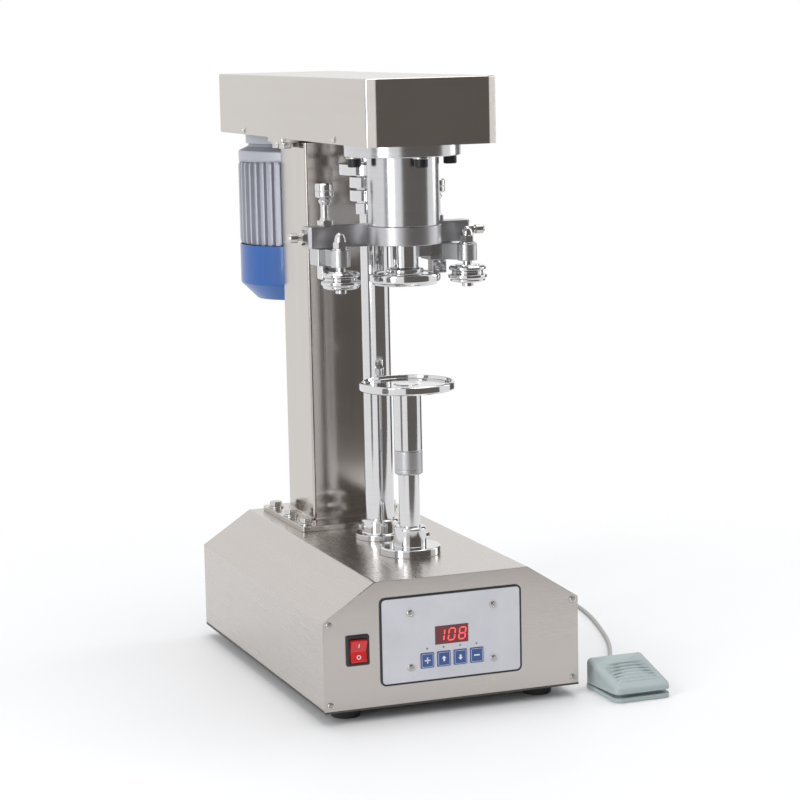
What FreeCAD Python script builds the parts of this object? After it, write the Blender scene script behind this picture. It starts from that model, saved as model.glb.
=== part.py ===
import FreeCAD, Part
import Sketcher
import math
import os

# Bench-top can seamer: a sheet-metal base with a control panel, a column and a guide post that
# carry an overhead drive in a hood, a chuck under a bearing barrel with two seaming rollers on
# swinging levers, a rising turntable below it, and a foot switch on a cord.
# Millimetres, +X right, +Y to the rear, +Z up. Origin: on the floor, midway in width and depth.

SIZES = {
    # stance of the machine
    "base_width": 285.0,
    "base_depth": 432.0,
    "base_height": 133.0,
    "front_reach": 273.0,
    "side_height": 96.0,
    "deck_width": 171.0,
    "sheet": 2.0,
    "corner_screw_inset": 6.2,
    "lug_size": 11.0,
    "flange_width": 12.0,
    # feet
    "foot_height": 13.0,
    "foot_top_radius": 17.5,
    "foot_bottom_radius": 15.0,
    "foot_inset": 34.0,
    "foot_screw_seat": 5.0,
    # places along the machine, measured back from the front plate
    "spindle_inset": 120.6,
    "post_inset": 214.0,
    "column_inset": 356.0,
    "motor_inset": 476.0,
    "hood_inset": 29.0,
    # inner frame
    "frame_plate": 6.0,
    "frame_width": 156.0,
    "frame_setback": 40.0,
    "fit": 0.05,
    "seat": 0.02,
    "gap": 0.3,
    # screws
    "screw_radius": 2.0,
    "screw_head_radius": 3.6,
    "screw_head_height": 2.2,
    "screw_length": 9.0,
    # control panel
    "panel_width": 158.0,
    "panel_height": 93.0,
    "panel_centre_x": -2.2,
    "panel_centre_z": 82.0,
    "panel_corner": 6.0,
    "bezel_width": 1.8,
    "bezel_depth": 1.8,
    "fascia_depth": 1.4,
    "opening_margin": 5.0,
    "display_width": 36.5,
    "display_height": 19.0,
    "display_z": 83.5,
    "display_depth": 1.8,
    "key_width": 14.6,
    "key_height": 15.9,
    "key_pitch": 18.45,
    "key_z": 58.2,
    "key_depth": 3.6,
    "key_proud": 0.8,
    "key_travel": 0.6,
    "panel_screw_x": 46.1,
    "panel_screw_top": 110.2,
    "panel_screw_bottom": 52.7,
    "board_gap": 8.0,
    "board_thickness": 1.6,
    # rocker switch
    "switch_x": -105.8,
    "switch_z": 77.0,
    "switch_width": 25.0,
    "switch_height": 32.0,
    "switch_frame": 2.6,
    "switch_depth": 20.0,
    "rocker_proud": 3.0,
    "rocker_tilt": 7.0,
    "rocker_axle_radius": 1.4,
    # rear plate fittings
    "inlet_x": -80.0,
    "inlet_z": 62.0,
    "inlet_width": 27.0,
    "inlet_height": 20.0,
    "inlet_flange": 48.0,
    "inlet_depth": 22.0,
    "socket_depth": 17.0,
    "socket_wall": 1.8,
    "pin_length": 12.0,
    "gland_x": 110.0,
    "gland_z": 35.0,
    "gland_radius": 7.5,
    "gland_reach": 12.0,
    "vent_length": 60.0,
    "vent_height": 3.0,
    "vent_pitch": 10.0,
    # column
    "column_side": 90.0,
    "column_wall": 3.0,
    "column_height": 441.5,
    "column_plate_width": 143.0,
    "column_plate_depth": 149.0,
    "column_plate": 6.0,
    "column_plate_shift": -8.5,
    "column_top_width": 132.0,
    "column_top_depth": 50.0,
    "column_bolt_x": 61.0,
    "column_bolt_front": 56.0,
    "column_bolt_rear": 56.0,
    "bolt_radius": 4.0,
    "bolt_head_radius": 7.5,
    "bolt_head_height": 5.5,
    "washer_radius": 9.0,
    "washer_height": 1.6,
    "top_bolt_x": 57.0,
    "top_bolt_y": 12.0,
    # guide post
    "post_radius": 16.0,
    "post_foot_radius": 28.0,
    "post_foot_height": 6.0,
    "post_collar_radius": 21.0,
    "post_collar_height": 22.0,
    "post_head_radius": 37.0,
    "post_ring_radius": 26.0,
    "post_end_radius": 20.0,
    "post_neck_radius": 18.5,
    "post_ring_height": 12.0,
    "post_ring_gap": 2.4,
    "post_flange_height": 25.5,
    "post_top_radius": 24.0,
    # drive head
    "mount_plate": 12.0,
    "hood_length": 520.4,
    "hood_width": 143.0,
    "hood_height": 69.2,
    "hood_sheet": 1.5,
    "hood_bevel_x": 10.0,
    "hood_bevel_y": 6.0,
    "hood_screw_front": 104.5,
    "hood_screw_rear": 423.4,
    "hood_screw_up": 5.0,
    "barrel_radius": 38.5,
    "barrel_length": 87.0,
    "barrel_flange_radius": 62.0,
    "barrel_flange_height": 13.5,
    "barrel_screw_circle": 54.0,
    "cap_screw_radius": 7.0,
    "cap_screw_height": 9.0,
    "cap_screw_socket": 3.4,
    "bearing_radius": 26.0,
    "bearing_bore": 12.5,
    "bearing_width": 15.0,
    "bearing_end": 3.0,
    "barrel_relief": 23.0,
    # roller carrier
    "carrier_radius": 39.7,
    "carrier_height": 19.8,
    "carrier_bore": 24.0,
    "beam_height": 23.0,
    "beam_depth": 22.0,
    "beam_setback": 24.0,
    "beam_left": 98.0,
    "beam_right": 86.0,
    "beam_chamfer": 3.0,
    "stop_screw_radius": 3.0,
    "stop_screw_reach": 20.0,
    "stop_nut_radius": 8.0,
    "stop_nut_height": 6.0,
    # spindle and chuck
    "spindle_neck_radius": 14.7,
    "spindle_drop": 50.5,
    "spindle_hub_radius": 20.0,
    "spindle_hub_height": 4.5,
    "chuck_radius": 38.2,
    "chuck_height": 12.3,
    "chuck_lip_radius": 34.0,
    "chuck_rim": 5.0,
    "chuck_recess": 3.0,
    # seaming levers
    "lever_height": 18.0,
    "lever_boss_radius": 10.5,
    "lever_block": 28.0,
    "lever_bar": 14.0,
    "roller_x": 72.0,
    "left_pivot_x": 76.0,
    "right_pivot_x": 51.0,
    "pivot_back": 35.0,
    "lever_tail": 24.0,
    "stud_radius": 6.0,
    "stud_rise": 45.0,
    "stud_nut_radius": 10.0,
    "stud_nut_height": 15.0,
    "hex_nut_radius": 9.0,
    "hex_nut_height": 6.0,
    "stud_block": 16.0,
    "stud_block_height": 15.0,
    "roller_radius": 21.0,
    "roller_height": 19.0,
    "roller_groove": 17.0,
    "roller_drop": 4.0,
    "pin_radius": 5.0,
    "pin_head_radius": 6.0,
    "pin_head_height": 4.5,
    "acorn_radius": 8.0,
    "acorn_height": 19.0,
    # belt drive
    "pulley_base": 7.0,
    "pulley_height": 22.0,
    "spindle_pulley_radius": 50.0,
    "motor_pulley_radius": 30.0,
    "belt_width": 11.0,
    "belt_thickness": 8.0,
    "groove_depth": 10.0,
    # motor
    "motor_radius": 70.0,
    "motor_core_radius": 64.0,
    "motor_length": 98.0,
    "shield_height": 32.5,
    "shield_flange_radius": 60.0,
    "shield_flange_height": 12.0,
    "cowl_height": 65.0,
    "cowl_chamfer": 19.0,
    "cowl_sheet": 1.5,
    "fin_count": 40.0,
    "fin_width": 2.4,
    "shaft_radius": 9.0,
    "rotor_radius": 42.0,
    "fan_radius": 56.0,
    "fan_height": 26.0,
    "fan_hub_radius": 18.0,
    "stator_bore": 42.5,
    # lift and turntable
    "lift_flange_radius": 33.0,
    "lift_flange_height": 8.7,
    "lift_collar_radius": 17.7,
    "lift_collar_height": 21.0,
    "rod_radius": 11.3,
    "sleeve_bottom": 113.0,
    "sleeve_radius": 15.2,
    "sleeve_height": 65.0,
    "ring_height": 26.0,
    "rod_in_sleeve": 40.0,
    "rod_hole_radius": 15.5,
    "table_radius": 51.5,
    "table_height": 9.0,
    "table_recess_radius": 47.0,
    "table_recess": 3.5,
    "table_shaft_radius": 5.0,
    "table_bearing_radius": 13.0,
    "table_bearing_width": 8.0,
    "lift_travel": 28.0,
    "cam_base_radius": 22.0,
    "cam_width": 10.0,
    "follower_radius": 9.0,
    "follower_width": 9.0,
    "fork_width": 22.0,
    "follower_pin_radius": 3.0,
    "cam_axis_z": 66.0,
    "cam_shaft_radius": 6.0,
    "lift_motor_radius": 21.0,
    "lift_motor_length": 36.0,
    "lift_motor_gap": 12.0,
    # foot switch
    "pedal_x": 196.8,
    "pedal_front": -320.0,
    "pedal_width": 65.5,
    "pedal_length": 80.0,
    "pedal_rear_height": 33.0,
    "pedal_front_height": 15.0,
    "pedal_split": 5.0,
    "pedal_tub_inset": 4.5,
    "pedal_tub_height": 5.0,
    "lid_front_low": 9.5,
    "lid_rear_low": 5.5,
    "pedal_wall": 3.0,
    "pedal_corner": 9.0,
    "pedal_taper": 3.0,
    "pedal_pin_radius": 2.5,
    "pedal_pin_inset": 12.0,
    "pedal_pin_z": 19.0,
    "pedal_gland_radius": 4.6,
    "pedal_gland_reach": 6.0,
    # foot switch cord
    "cord_diameter": 4.5,
    "coil_x": 135.0,
    "coil_y": 225.0,
    "coil_radius": 25.0,
    "coil_turns": 5.3,
}

doc = FreeCAD.newDocument("can_seamer")


class Size:
    """A length with its value now and the sheet expression that it comes from."""

    def __init__(self, value, text):
        self.value = float(value)
        self.text = text

    @staticmethod
    def of(thing):
        if isinstance(thing, Size):
            return thing
        return Size(thing, "(%r)" % float(thing))

    def __add__(self, other):
        other = Size.of(other)
        return Size(self.value + other.value, "(%s + %s)" % (self.text, other.text))

    def __sub__(self, other):
        other = Size.of(other)
        return Size(self.value - other.value, "(%s - %s)" % (self.text, other.text))

    def __mul__(self, other):
        other = Size.of(other)
        return Size(self.value * other.value, "(%s * %s)" % (self.text, other.text))

    def __truediv__(self, other):
        other = Size.of(other)
        return Size(self.value / other.value, "(%s / %s)" % (self.text, other.text))

    def __radd__(self, other):
        return Size.of(other) + self

    def __rsub__(self, other):
        return Size.of(other) - self

    def __rmul__(self, other):
        return Size.of(other) * self

    def __neg__(self):
        return Size(-self.value, "(0 - %s)" % self.text)


class Sheet:
    """The spreadsheet of driving sizes; each alias reads back as a Size."""

    def __init__(self, sizes):
        self.cells = doc.addObject("Spreadsheet::Sheet", "sizes")
        self.numbers = dict(sizes)
        for row, (alias, number) in enumerate(sizes.items(), start=1):
            self.cells.set("A%d" % row, alias)
            self.cells.set("B%d" % row, "%r" % number)
            self.cells.setAlias("B%d" % row, alias)
        doc.recompute()

    def __getattr__(self, alias):
        return Size(self.numbers[alias], "sizes.%s" % alias)


S = Sheet(SIZES)


def half_turn_tangent(run, rise):
    """Tangent of half the angle whose tangent is run over rise."""
    angle = math.atan2(run.value, rise.value)
    return Size(math.tan(angle / 2), "tan(atan(%s / %s) / 2)" % (run.text, rise.text))


def bind(item, prop, size):
    """Tie a property to the sheet."""
    item.setExpression(prop, Size.of(size).text)


def place(item, at, turn=None):
    """Put an item at a point given by sizes, turned about an axis by a fixed angle."""
    point = [Size.of(c) for c in at]
    rotation = FreeCAD.Rotation(*turn) if turn else FreeCAD.Rotation()
    item.Placement = FreeCAD.Placement(FreeCAD.Vector(*[c.value for c in point]), rotation)
    for letter, c in zip("xyz", point):
        bind(item, "Placement.Base.%s" % letter, c)


X_AXIS = FreeCAD.Vector(1, 0, 0)
Y_AXIS = FreeCAD.Vector(0, 1, 0)
Z_AXIS = FreeCAD.Vector(0, 0, 1)
nodes = []


def new_body(label, at=(0, 0, 0), turn=None, keep=True):
    body = doc.addObject("PartDesign::Body", label)
    body.Label = label
    place(body, at, turn)
    if keep:
        nodes.append(body)
    return body


def new_sketch(body, plane, offset=0.0):
    sketch = body.newObject("Sketcher::SketchObject", body.Name + "_sketch")
    support = [f for f in body.Origin.OriginFeatures if f.Role == plane + "_Plane"][0]
    sketch.AttachmentSupport = [(support, "")]
    sketch.MapMode = "FlatFace"
    bind(sketch, "AttachmentOffset.Base.z", offset)
    return sketch


def pin_point(sketch, geometry, position, x, y):
    """Fix a sketch point at two sizes from the sketch origin."""
    for kind, size, axis in (("DistanceX", Size.of(x), -2), ("DistanceY", Size.of(y), -1)):
        if size.value == 0.0:
            sketch.addConstraint(Sketcher.Constraint("PointOnObject", geometry, position, axis))
            continue
        number = sketch.addConstraint(
            Sketcher.Constraint(kind, -1, 1, geometry, position, size.value)
        )
        sketch.setExpression("Constraints[%d]" % number, size.text)


class Arc:
    """The next stretch of an outline: an arc to (x, y) about a centre."""

    def __init__(self, x, y, centre_x, centre_y):
        self.end = (x, y)
        self.centre = (centre_x, centre_y)


def outline(points):
    """A closed outline through points; an Arc entry bends to its end, the rest run straight."""

    def draw(sketch):
        ends = [p.end if isinstance(p, Arc) else p for p in points]
        spots = [FreeCAD.Vector(Size.of(x).value, Size.of(y).value, 0) for x, y in ends]
        joints = []
        for i, entry in enumerate(points):
            start, end = spots[i - 1], spots[i]
            if isinstance(entry, Arc):
                cx, cy = [Size.of(c) for c in entry.centre]
                centre = FreeCAD.Vector(cx.value, cy.value, 0)
                chord = (start + end) * 0.5 - centre
                middle = centre + chord * ((start - centre).Length / chord.Length)
                index = sketch.addGeometry(Part.Arc(start, middle, end), False)
                first = sketch.Geometry[index].StartPoint
                forward = (first - start).Length < (first - end).Length
                joints.append((index, 1, 2) if forward else (index, 2, 1))
                if cx.value == 0.0:
                    rule = Sketcher.Constraint("PointOnObject", index, 3, -2)
                    sketch.addConstraint(rule)
                else:
                    rule = Sketcher.Constraint("DistanceX", -1, 1, index, 3, cx.value)
                    number = sketch.addConstraint(rule)
                    sketch.setExpression("Constraints[%d]" % number, cx.text)
            else:
                index = sketch.addGeometry(Part.LineSegment(start, end), False)
                joints.append((index, 1, 2))
        for i, (index, first, last) in enumerate(joints):
            following = joints[(i + 1) % len(joints)]
            rule = Sketcher.Constraint("Coincident", index, last, following[0], following[1])
            sketch.addConstraint(rule)
            pin_point(sketch, index, last, *ends[i])

    return draw


def rectangle(left, bottom, right, top):
    return outline([(right, bottom), (right, top), (left, top), (left, bottom)])


def box_about(x, y, width, height):
    return rectangle(x - width / 2, y - height / 2, x + width / 2, y + height / 2)


def rounded_box(x, y, width, height, corner):
    """A rectangle about (x, y) with round corners."""
    left, right = x - width / 2, x + width / 2
    low, high = y - height / 2, y + height / 2
    return outline(
        [
            (right - corner, low),
            Arc(right, low + corner, right - corner, low + corner),
            (right, high - corner),
            Arc(right - corner, high, right - corner, high - corner),
            (left + corner, high),
            Arc(left, high - corner, left + corner, high - corner),
            (left, low + corner),
            Arc(left + corner, low, left + corner, low + corner),
        ]
    )


def disc(x, y, radius):
    def draw(sketch):
        centre = FreeCAD.Vector(Size.of(x).value, Size.of(y).value, 0)
        radius_now = Size.of(radius)
        index = sketch.addGeometry(Part.Circle(centre, Z_AXIS, radius_now.value), False)
        pin_point(sketch, index, 3, x, y)
        number = sketch.addConstraint(Sketcher.Constraint("Radius", index, radius_now.value))
        sketch.setExpression("Constraints[%d]" % number, radius_now.text)

    return draw


def add_prism(body, plane, offset, length, shapes, flip=False):
    """Pad the shapes from a plane: +Z from XY, -Y from XZ, +X from YZ, the other way if flipped."""
    sketch = new_sketch(body, plane, offset)
    for shape in shapes:
        shape(sketch)
    pad = body.newObject("PartDesign::Pad", body.Name + "_pad")
    pad.Profile = sketch
    bind(pad, "Length", length)
    pad.Reversed = flip
    return pad


def cut_prism(body, plane, offset, length, shapes, flip=False):
    """Pocket the shapes: downward from XY, +Y from XZ, -X from YZ, the other way if flipped."""
    doc.recompute()
    before = body.Shape.Volume
    sketch = new_sketch(body, plane, offset)
    for shape in shapes:
        shape(sketch)
    pocket = body.newObject("PartDesign::Pocket", body.Name + "_pocket")
    pocket.Profile = sketch
    bind(pocket, "Length", length)
    pocket.Reversed = flip
    doc.recompute()
    if body.Shape.Volume > before - 1e-3:
        raise ValueError("a pocket in %s cuts nothing" % body.Label)
    return pocket


def prism(label, plane, length, shapes, at=(0, 0, 0), flip=False, keep=True):
    body = new_body(label, at, keep=keep)
    add_prism(body, plane, 0, length, shapes, flip)
    return body


def turned(label, profile, at=(0, 0, 0), turn=None, keep=True):
    """A turned piece: a profile of (radius, height) about the body's Z axis."""
    body = new_body(label, at, turn, keep)
    add_turned(body, profile)
    return body


def add_turned(body, profile):
    sketch = new_sketch(body, "XZ")
    outline(profile)(sketch)
    solid = body.newObject("PartDesign::Revolution", body.Name + "_turned")
    solid.Profile = sketch
    solid.ReferenceAxis = (sketch, ["V_Axis"])
    solid.Angle = 360
    return solid


def ring_profile(inner, outer, low, high):
    return [(outer, low), (outer, high), (inner, high), (inner, low)]


def polar(body, feature, count):
    """Repeat a feature about the body's Z axis."""
    pattern = body.newObject("PartDesign::PolarPattern", body.Name + "_pattern")
    pattern.Originals = [feature]
    axis = [f for f in body.Origin.OriginFeatures if f.Role == "Z_Axis"][0]
    pattern.Axis = (axis, [""])
    pattern.Angle = 360
    bind(pattern, "Occurrences", count)
    body.Tip = pattern
    return pattern


def round_edges(body, radius, wanted):
    """Fillet the body's edges that the test picks."""
    doc.recompute()
    base = body.Tip
    names = ["Edge%d" % i for i, e in enumerate(base.Shape.Edges, start=1) if wanted(e)]
    fillet = body.newObject("PartDesign::Fillet", body.Name + "_fillet")
    fillet.Base = (base, names)
    bind(fillet, "Radius", radius)
    return fillet


def upright(edge):
    """True for a straight edge along Z."""
    start, end = edge.Vertexes[0].Point, edge.Vertexes[-1].Point
    return abs(start.x - end.x) < 1e-6 and abs(start.y - end.y) < 1e-6


def group(label, copies):
    """One node of separate solids: copies is a list of (master body, point, turn)."""
    links = []
    for master, at, turn in copies:
        link = doc.addObject("App::Link", label + "_copy")
        link.LinkedObject = master
        place(link, at, turn)
        links.append(link)
    node = doc.addObject("Part::Compound", label)
    node.Label = label
    node.Links = links
    nodes.append(node)
    return node


def part_feature(label, shape, at=(0, 0, 0)):
    node = doc.addObject("Part::Feature", label)
    node.Label = label
    node.Shape = shape
    place(node, at)
    nodes.append(node)
    return node


# ---- heights and places that several pieces share ----
front_y = -S.front_reach
rear_y = front_y + S.base_depth
spindle_y = front_y + S.spindle_inset
post_y = front_y + S.post_inset
column_y = front_y + S.column_inset
motor_y = front_y + S.motor_inset
hood_y = front_y + S.hood_inset
cover_z = S.foot_height + S.sheet
side_top = S.foot_height + S.side_height
base_top = S.foot_height + S.base_height
deck_z = base_top - S.sheet
half_width = S.base_width / 2
half_deck = S.deck_width / 2
mount_z = base_top + S.column_height
mount_top = mount_z + S.mount_plate
barrel_z = mount_z - S.barrel_length
chuck_top = barrel_z - S.spindle_drop
chuck_z = chuck_top - S.chuck_height
beam_z = barrel_z - S.beam_height
screw_x = half_width - S.corner_screw_inset
screw_low = cover_z + S.corner_screw_inset
screw_high = side_top - S.corner_screw_inset / 2

# ---- masters of the repeated fasteners; each stands head up with its seat at z = 0 ----
SOUTH = (X_AXIS, 90)
NORTH = (X_AXIS, -90)
EAST = (Y_AXIS, 90)
WEST = (Y_AXIS, -90)
DOWN = (X_AXIS, 180)


def pan_screw(label, radius, head_radius, head_height, length):
    edge = head_height / 3
    crown = head_radius * 0.6
    return turned(
        label,
        [(0, -length), (radius, -length), (radius, 0), (head_radius, 0), (head_radius, edge),
         (crown, head_height), (0, head_height)],
        keep=False,
    )


def hex_bolt(label, length):
    """Hexagon bolt with its washer under the head, the washer's face at z = 0."""
    body = new_body(label, keep=False)
    top = S.washer_height + S.bolt_head_height
    add_turned(
        body,
        [(0, -length), (S.bolt_radius, -length), (S.bolt_radius, 0), (S.washer_radius, 0),
         (S.washer_radius, S.washer_height), (0, S.washer_height)],
    )
    corners = [
        (S.bolt_head_radius * math.cos(k * math.pi / 3), S.bolt_head_radius * math.sin(k * math.pi / 3))
        for k in range(6)
    ]
    add_prism(body, "XY", S.washer_height, S.bolt_head_height, [outline(corners)])
    return body


def cap_screw(label, radius, head_radius, head_height, length, socket):
    body = turned(
        label,
        [(0, -length), (radius, -length), (radius, 0), (head_radius, 0),
         (head_radius, head_height), (0, head_height)],
        keep=False,
    )
    corners = [(socket * math.cos(k * math.pi / 3), socket * math.sin(k * math.pi / 3)) for k in range(6)]
    cut_prism(body, "XY", head_height, head_height * 0.55, [outline(corners)])
    return body


cover_screw = pan_screw(
    "cover_screw_master", S.screw_radius, S.screw_head_radius, S.screw_head_height, S.screw_length
)
foot_screw = pan_screw(
    "foot_screw_master", S.screw_radius * 1.5, S.foot_bottom_radius / 2.5, S.screw_head_height * 1.5,
    S.foot_height - S.foot_screw_seat + S.sheet * 2,
)

# ---- feet and sheet-metal base ----
foot_places = [
    (sx * (half_width - S.foot_inset), y)
    for y in (front_y + S.foot_inset, rear_y - S.foot_inset)
    for sx in (-1, 1)
]
foot_hole = S.screw_radius * 1.5 + S.fit
foot_bore = S.foot_bottom_radius / 2.5 + S.gap
foot = turned(
    "foot_master",
    [(S.foot_bottom_radius, 0), (S.foot_top_radius, S.foot_height), (foot_hole, S.foot_height),
     (foot_hole, S.foot_screw_seat), (foot_bore, S.foot_screw_seat), (foot_bore, 0)],
    keep=False,
)
group("rubber_feet", [(foot, (x, y, 0), None) for x, y in foot_places])

bottom_plate = prism(
    "bottom_plate", "XY", S.sheet,
    [box_about(0, front_y + S.base_depth / 2, S.base_width, S.base_depth)]
    + [disc(x, y, foot_hole) for x, y in foot_places],
    at=(0, 0, S.foot_height),
)

shoulder = half_width - half_deck
shoulder_rise = base_top - side_top
side_inner = side_top - S.sheet * half_turn_tangent(shoulder, shoulder_rise)
deck_inner = half_deck - S.sheet * half_turn_tangent(shoulder_rise, shoulder)
inner_x = half_width - S.sheet
lip_x = inner_x - S.flange_width


def end_outline():
    return outline(
        [(half_width, cover_z), (half_width, side_top), (half_deck, base_top),
         (-half_deck, base_top), (-half_width, side_top), (-half_width, cover_z)]
    )


corner_screws = [(sx * screw_x, z) for sx in (-1, 1) for z in (screw_low, screw_high)]


def lug_outlines(margin):
    """The four threaded corner lugs behind an end plate, or their screw holes."""
    if margin is None:
        return [disc(x, z, S.screw_radius + S.fit) for x, z in corner_screws]
    boxes = []
    for side in (-1, 1):
        for z in (screw_low, screw_high):
            wall, tip = side * (inner_x), side * (inner_x - S.lug_size)
            low, high = z - S.corner_screw_inset + margin, z + S.corner_screw_inset / 2
            if side < 0:
                boxes.append(rectangle(wall, low, tip, high))
            else:
                boxes.append(rectangle(tip, low, wall, high))
    return boxes


def make_base_cover():
    """The folded cover: sides, two long chamfers, deck and inward bottom flanges in one sheet."""
    body = new_body("base_cover")
    front_inner = front_y + S.sheet
    length = S.base_depth - 2 * S.sheet
    section = outline(
        [(half_width, cover_z), (half_width, side_top), (half_deck, base_top),
         (-half_deck, base_top), (-half_width, side_top), (-half_width, cover_z),
         (-lip_x, cover_z), (-lip_x, cover_z + S.sheet), (-inner_x, cover_z + S.sheet),
         (-inner_x, side_inner), (-deck_inner, deck_z), (deck_inner, deck_z),
         (inner_x, side_inner), (inner_x, cover_z + S.sheet), (lip_x, cover_z + S.sheet),
         (lip_x, cover_z)]
    )
    add_prism(body, "XZ", -front_inner, length, [section], flip=True)
    lug_depth = S.lug_size
    for start, flip in ((front_inner, True), (rear_y - S.sheet, False)):
        add_prism(body, "XZ", -start, lug_depth, lug_outlines(S.sheet), flip)
        cut_prism(body, "XZ", -start, lug_depth, lug_outlines(None), not flip)
    holes = [disc(0, spindle_y, S.rod_radius + S.sheet), disc(0, post_y, S.bolt_radius + S.fit)]
    holes += [disc(x, y, S.bolt_radius + S.fit) for x, y in column_bolts]
    cut_prism(body, "XY", base_top, S.sheet, holes)
    return body


column_bolts = [
    (sx * S.column_bolt_x, column_y + S.column_plate_shift + dy)
    for sx in (-1, 1)
    for dy in (-S.column_bolt_front, 0, S.column_bolt_rear)
]
make_base_cover()

opening_width = S.panel_width - 2 * S.opening_margin
opening_height = S.panel_height - 2 * S.opening_margin
switch_hole_width = S.switch_width - 2 * S.switch_frame + 2
switch_hole_height = S.switch_height - 2 * S.switch_frame + 2
front_plate = prism(
    "front_plate", "XZ", S.sheet,
    [end_outline(), box_about(S.panel_centre_x, S.panel_centre_z, opening_width, opening_height),
     box_about(S.switch_x, S.switch_z, switch_hole_width, switch_hole_height)]
    + lug_outlines(None),
    at=(0, front_y, 0), flip=True,
)

gland_hole = S.gland_radius * 0.6
vents = [
    box_about(0, cover_z + S.side_height / 2 + k * S.vent_pitch, S.vent_length, S.vent_height)
    for k in range(-2, 3)
]
rear_plate = prism(
    "rear_plate", "XZ", S.sheet,
    [end_outline(), box_about(S.inlet_x, S.inlet_z, S.inlet_width, S.inlet_height),
     disc(S.gland_x, S.gland_z, gland_hole)]
    + vents + lug_outlines(None),
    at=(0, rear_y, 0),
)

# ---- inner frame: a bent plate bridge that carries the column, post and lift ----
frame_front = front_y + S.frame_setback
frame_length = S.base_depth - 2 * S.frame_setback
half_frame = S.frame_width / 2
frame_side = half_frame - S.frame_plate
frame_floor = cover_z
base_frame = prism(
    "base_frame", "XZ", frame_length,
    [outline(
        [(half_frame, frame_floor), (half_frame, deck_z), (-half_frame, deck_z),
         (-half_frame, frame_floor), (-frame_side, frame_floor), (-frame_side, deck_z - S.frame_plate),
         (frame_side, deck_z - S.frame_plate), (frame_side, frame_floor)]
    )],
    at=(0, frame_front, 0), flip=True,
)
cut_prism(
    base_frame, "XY", deck_z, S.frame_plate,
    [disc(0, S.spindle_inset - S.frame_setback, S.rod_hole_radius),
     disc(0, S.post_inset - S.frame_setback, S.bolt_radius + S.fit)]
    + [disc(x, y - frame_front, S.bolt_radius + S.fit) for x, y in column_bolts],
)

# ---- control panel ----
panel_x, panel_z = S.panel_centre_x, S.panel_centre_z
inner_width = S.panel_width - 2 * S.bezel_width
inner_height = S.panel_height - 2 * S.bezel_width
prism(
    "panel_bezel", "XZ", S.bezel_depth,
    [rounded_box(panel_x, panel_z, S.panel_width, S.panel_height, S.panel_corner),
     rounded_box(panel_x, panel_z, inner_width, inner_height, S.panel_corner - S.bezel_width)],
    at=(0, front_y, 0),
)
key_places = [(panel_x + (k - 1.5) * S.key_pitch, S.key_z) for k in range(4)]
fascia_screws = [
    (panel_x + sx * S.panel_screw_x, z)
    for sx in (-1, 1)
    for z in (S.panel_screw_bottom, S.panel_screw_top)
]
fascia_gap = S.gap / 2
key_hole_width, key_hole_height = S.key_width + S.gap, S.key_height + S.gap
prism(
    "control_fascia", "XZ", S.fascia_depth,
    [rounded_box(panel_x, panel_z, inner_width - fascia_gap, inner_height - fascia_gap,
                 S.panel_corner - S.bezel_width),
     box_about(panel_x, S.display_z, S.display_width + fascia_gap, S.display_height + fascia_gap)]
    + [box_about(x, z, key_hole_width, key_hole_height) for x, z in key_places]
    + [disc(x, z, S.screw_radius + S.fit) for x, z in fascia_screws],
    at=(0, front_y, 0),
)
board_y = front_y + S.board_gap
prism(
    "display_window", "XZ", S.board_gap + S.display_depth,
    [box_about(panel_x, S.display_z, S.display_width, S.display_height)],
    at=(0, board_y, 0),
)
key_length = S.key_depth + S.key_proud
for number, (x, z) in enumerate(key_places, start=1):
    key = prism(
        "key_%d" % number, "XZ", key_length,
        [rounded_box(0, 0, S.key_width, S.key_height, S.key_proud)],
        at=(x, front_y - S.fascia_depth - S.key_proud, z), flip=True,
    )
board = prism(
    "control_board", "XZ", S.board_thickness,
    [box_about(panel_x, panel_z, opening_width - S.opening_margin, opening_height - S.opening_margin)]
    + [disc(x, z, S.screw_radius + S.fit) for x, z in fascia_screws],
    at=(0, board_y, 0), flip=True,
)
switch_gap = S.board_gap - (key_length - S.fascia_depth - S.key_proud) - S.key_travel - S.gap
add_prism(board, "XZ", 0, switch_gap, [box_about(x, z, 6, 6) for x, z in key_places])
add_prism(
    board, "XZ", 0, S.board_gap,
    [disc(x, z, S.screw_radius * 2) for x, z in fascia_screws],
)
cut_prism(
    board, "XZ", S.board_gap, S.board_gap + S.board_thickness,
    [disc(x, z, S.screw_radius + S.fit) for x, z in fascia_screws],
)

# ---- rocker switch: a bezel with a snap-in body, and a shallow V rocker on its own axle ----
housing = new_body("switch_housing", at=(S.switch_x, front_y, S.switch_z))
body_width = switch_hole_width - 2 * S.fit
body_height = switch_hole_height - 2 * S.fit
add_prism(housing, "XZ", 0, S.switch_frame, [rounded_box(0, 0, S.switch_width, S.switch_height, 1.5)])
add_prism(housing, "XZ", 0, S.switch_depth, [box_about(0, 0, body_width, body_height)], flip=True)
well_width, well_height = body_width - 2 * S.sheet, body_height - 2 * S.sheet
cut_prism(
    housing, "XZ", S.switch_frame, S.switch_frame + S.switch_depth - S.sheet,
    [box_about(0, 0, well_width, well_height)],
)
add_prism(housing, "YZ", -well_width / 2, well_width, [disc(0, 0, S.rocker_axle_radius)])
rocker_half = well_height / 2 - S.gap
rocker_rise = S.switch_frame + S.rocker_proud
rocker_side = rocker_half - S.gap * 2
rocker = new_body(
    "rocker", at=(S.switch_x, front_y, S.switch_z), turn=(X_AXIS, SIZES["rocker_tilt"])
)
add_prism(
    rocker, "YZ", -(well_width / 2 - S.gap), well_width - 2 * S.gap,
    [outline([(-rocker_rise, -rocker_side), (-S.switch_frame, 0), (-rocker_rise, rocker_side),
              (0, rocker_side), (S.switch_frame * 2, 0), (0, -rocker_side)])],
)
cut_prism(
    rocker, "YZ", well_width / 2, well_width, [disc(0, 0, S.rocker_axle_radius + S.fit)]
)

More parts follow.
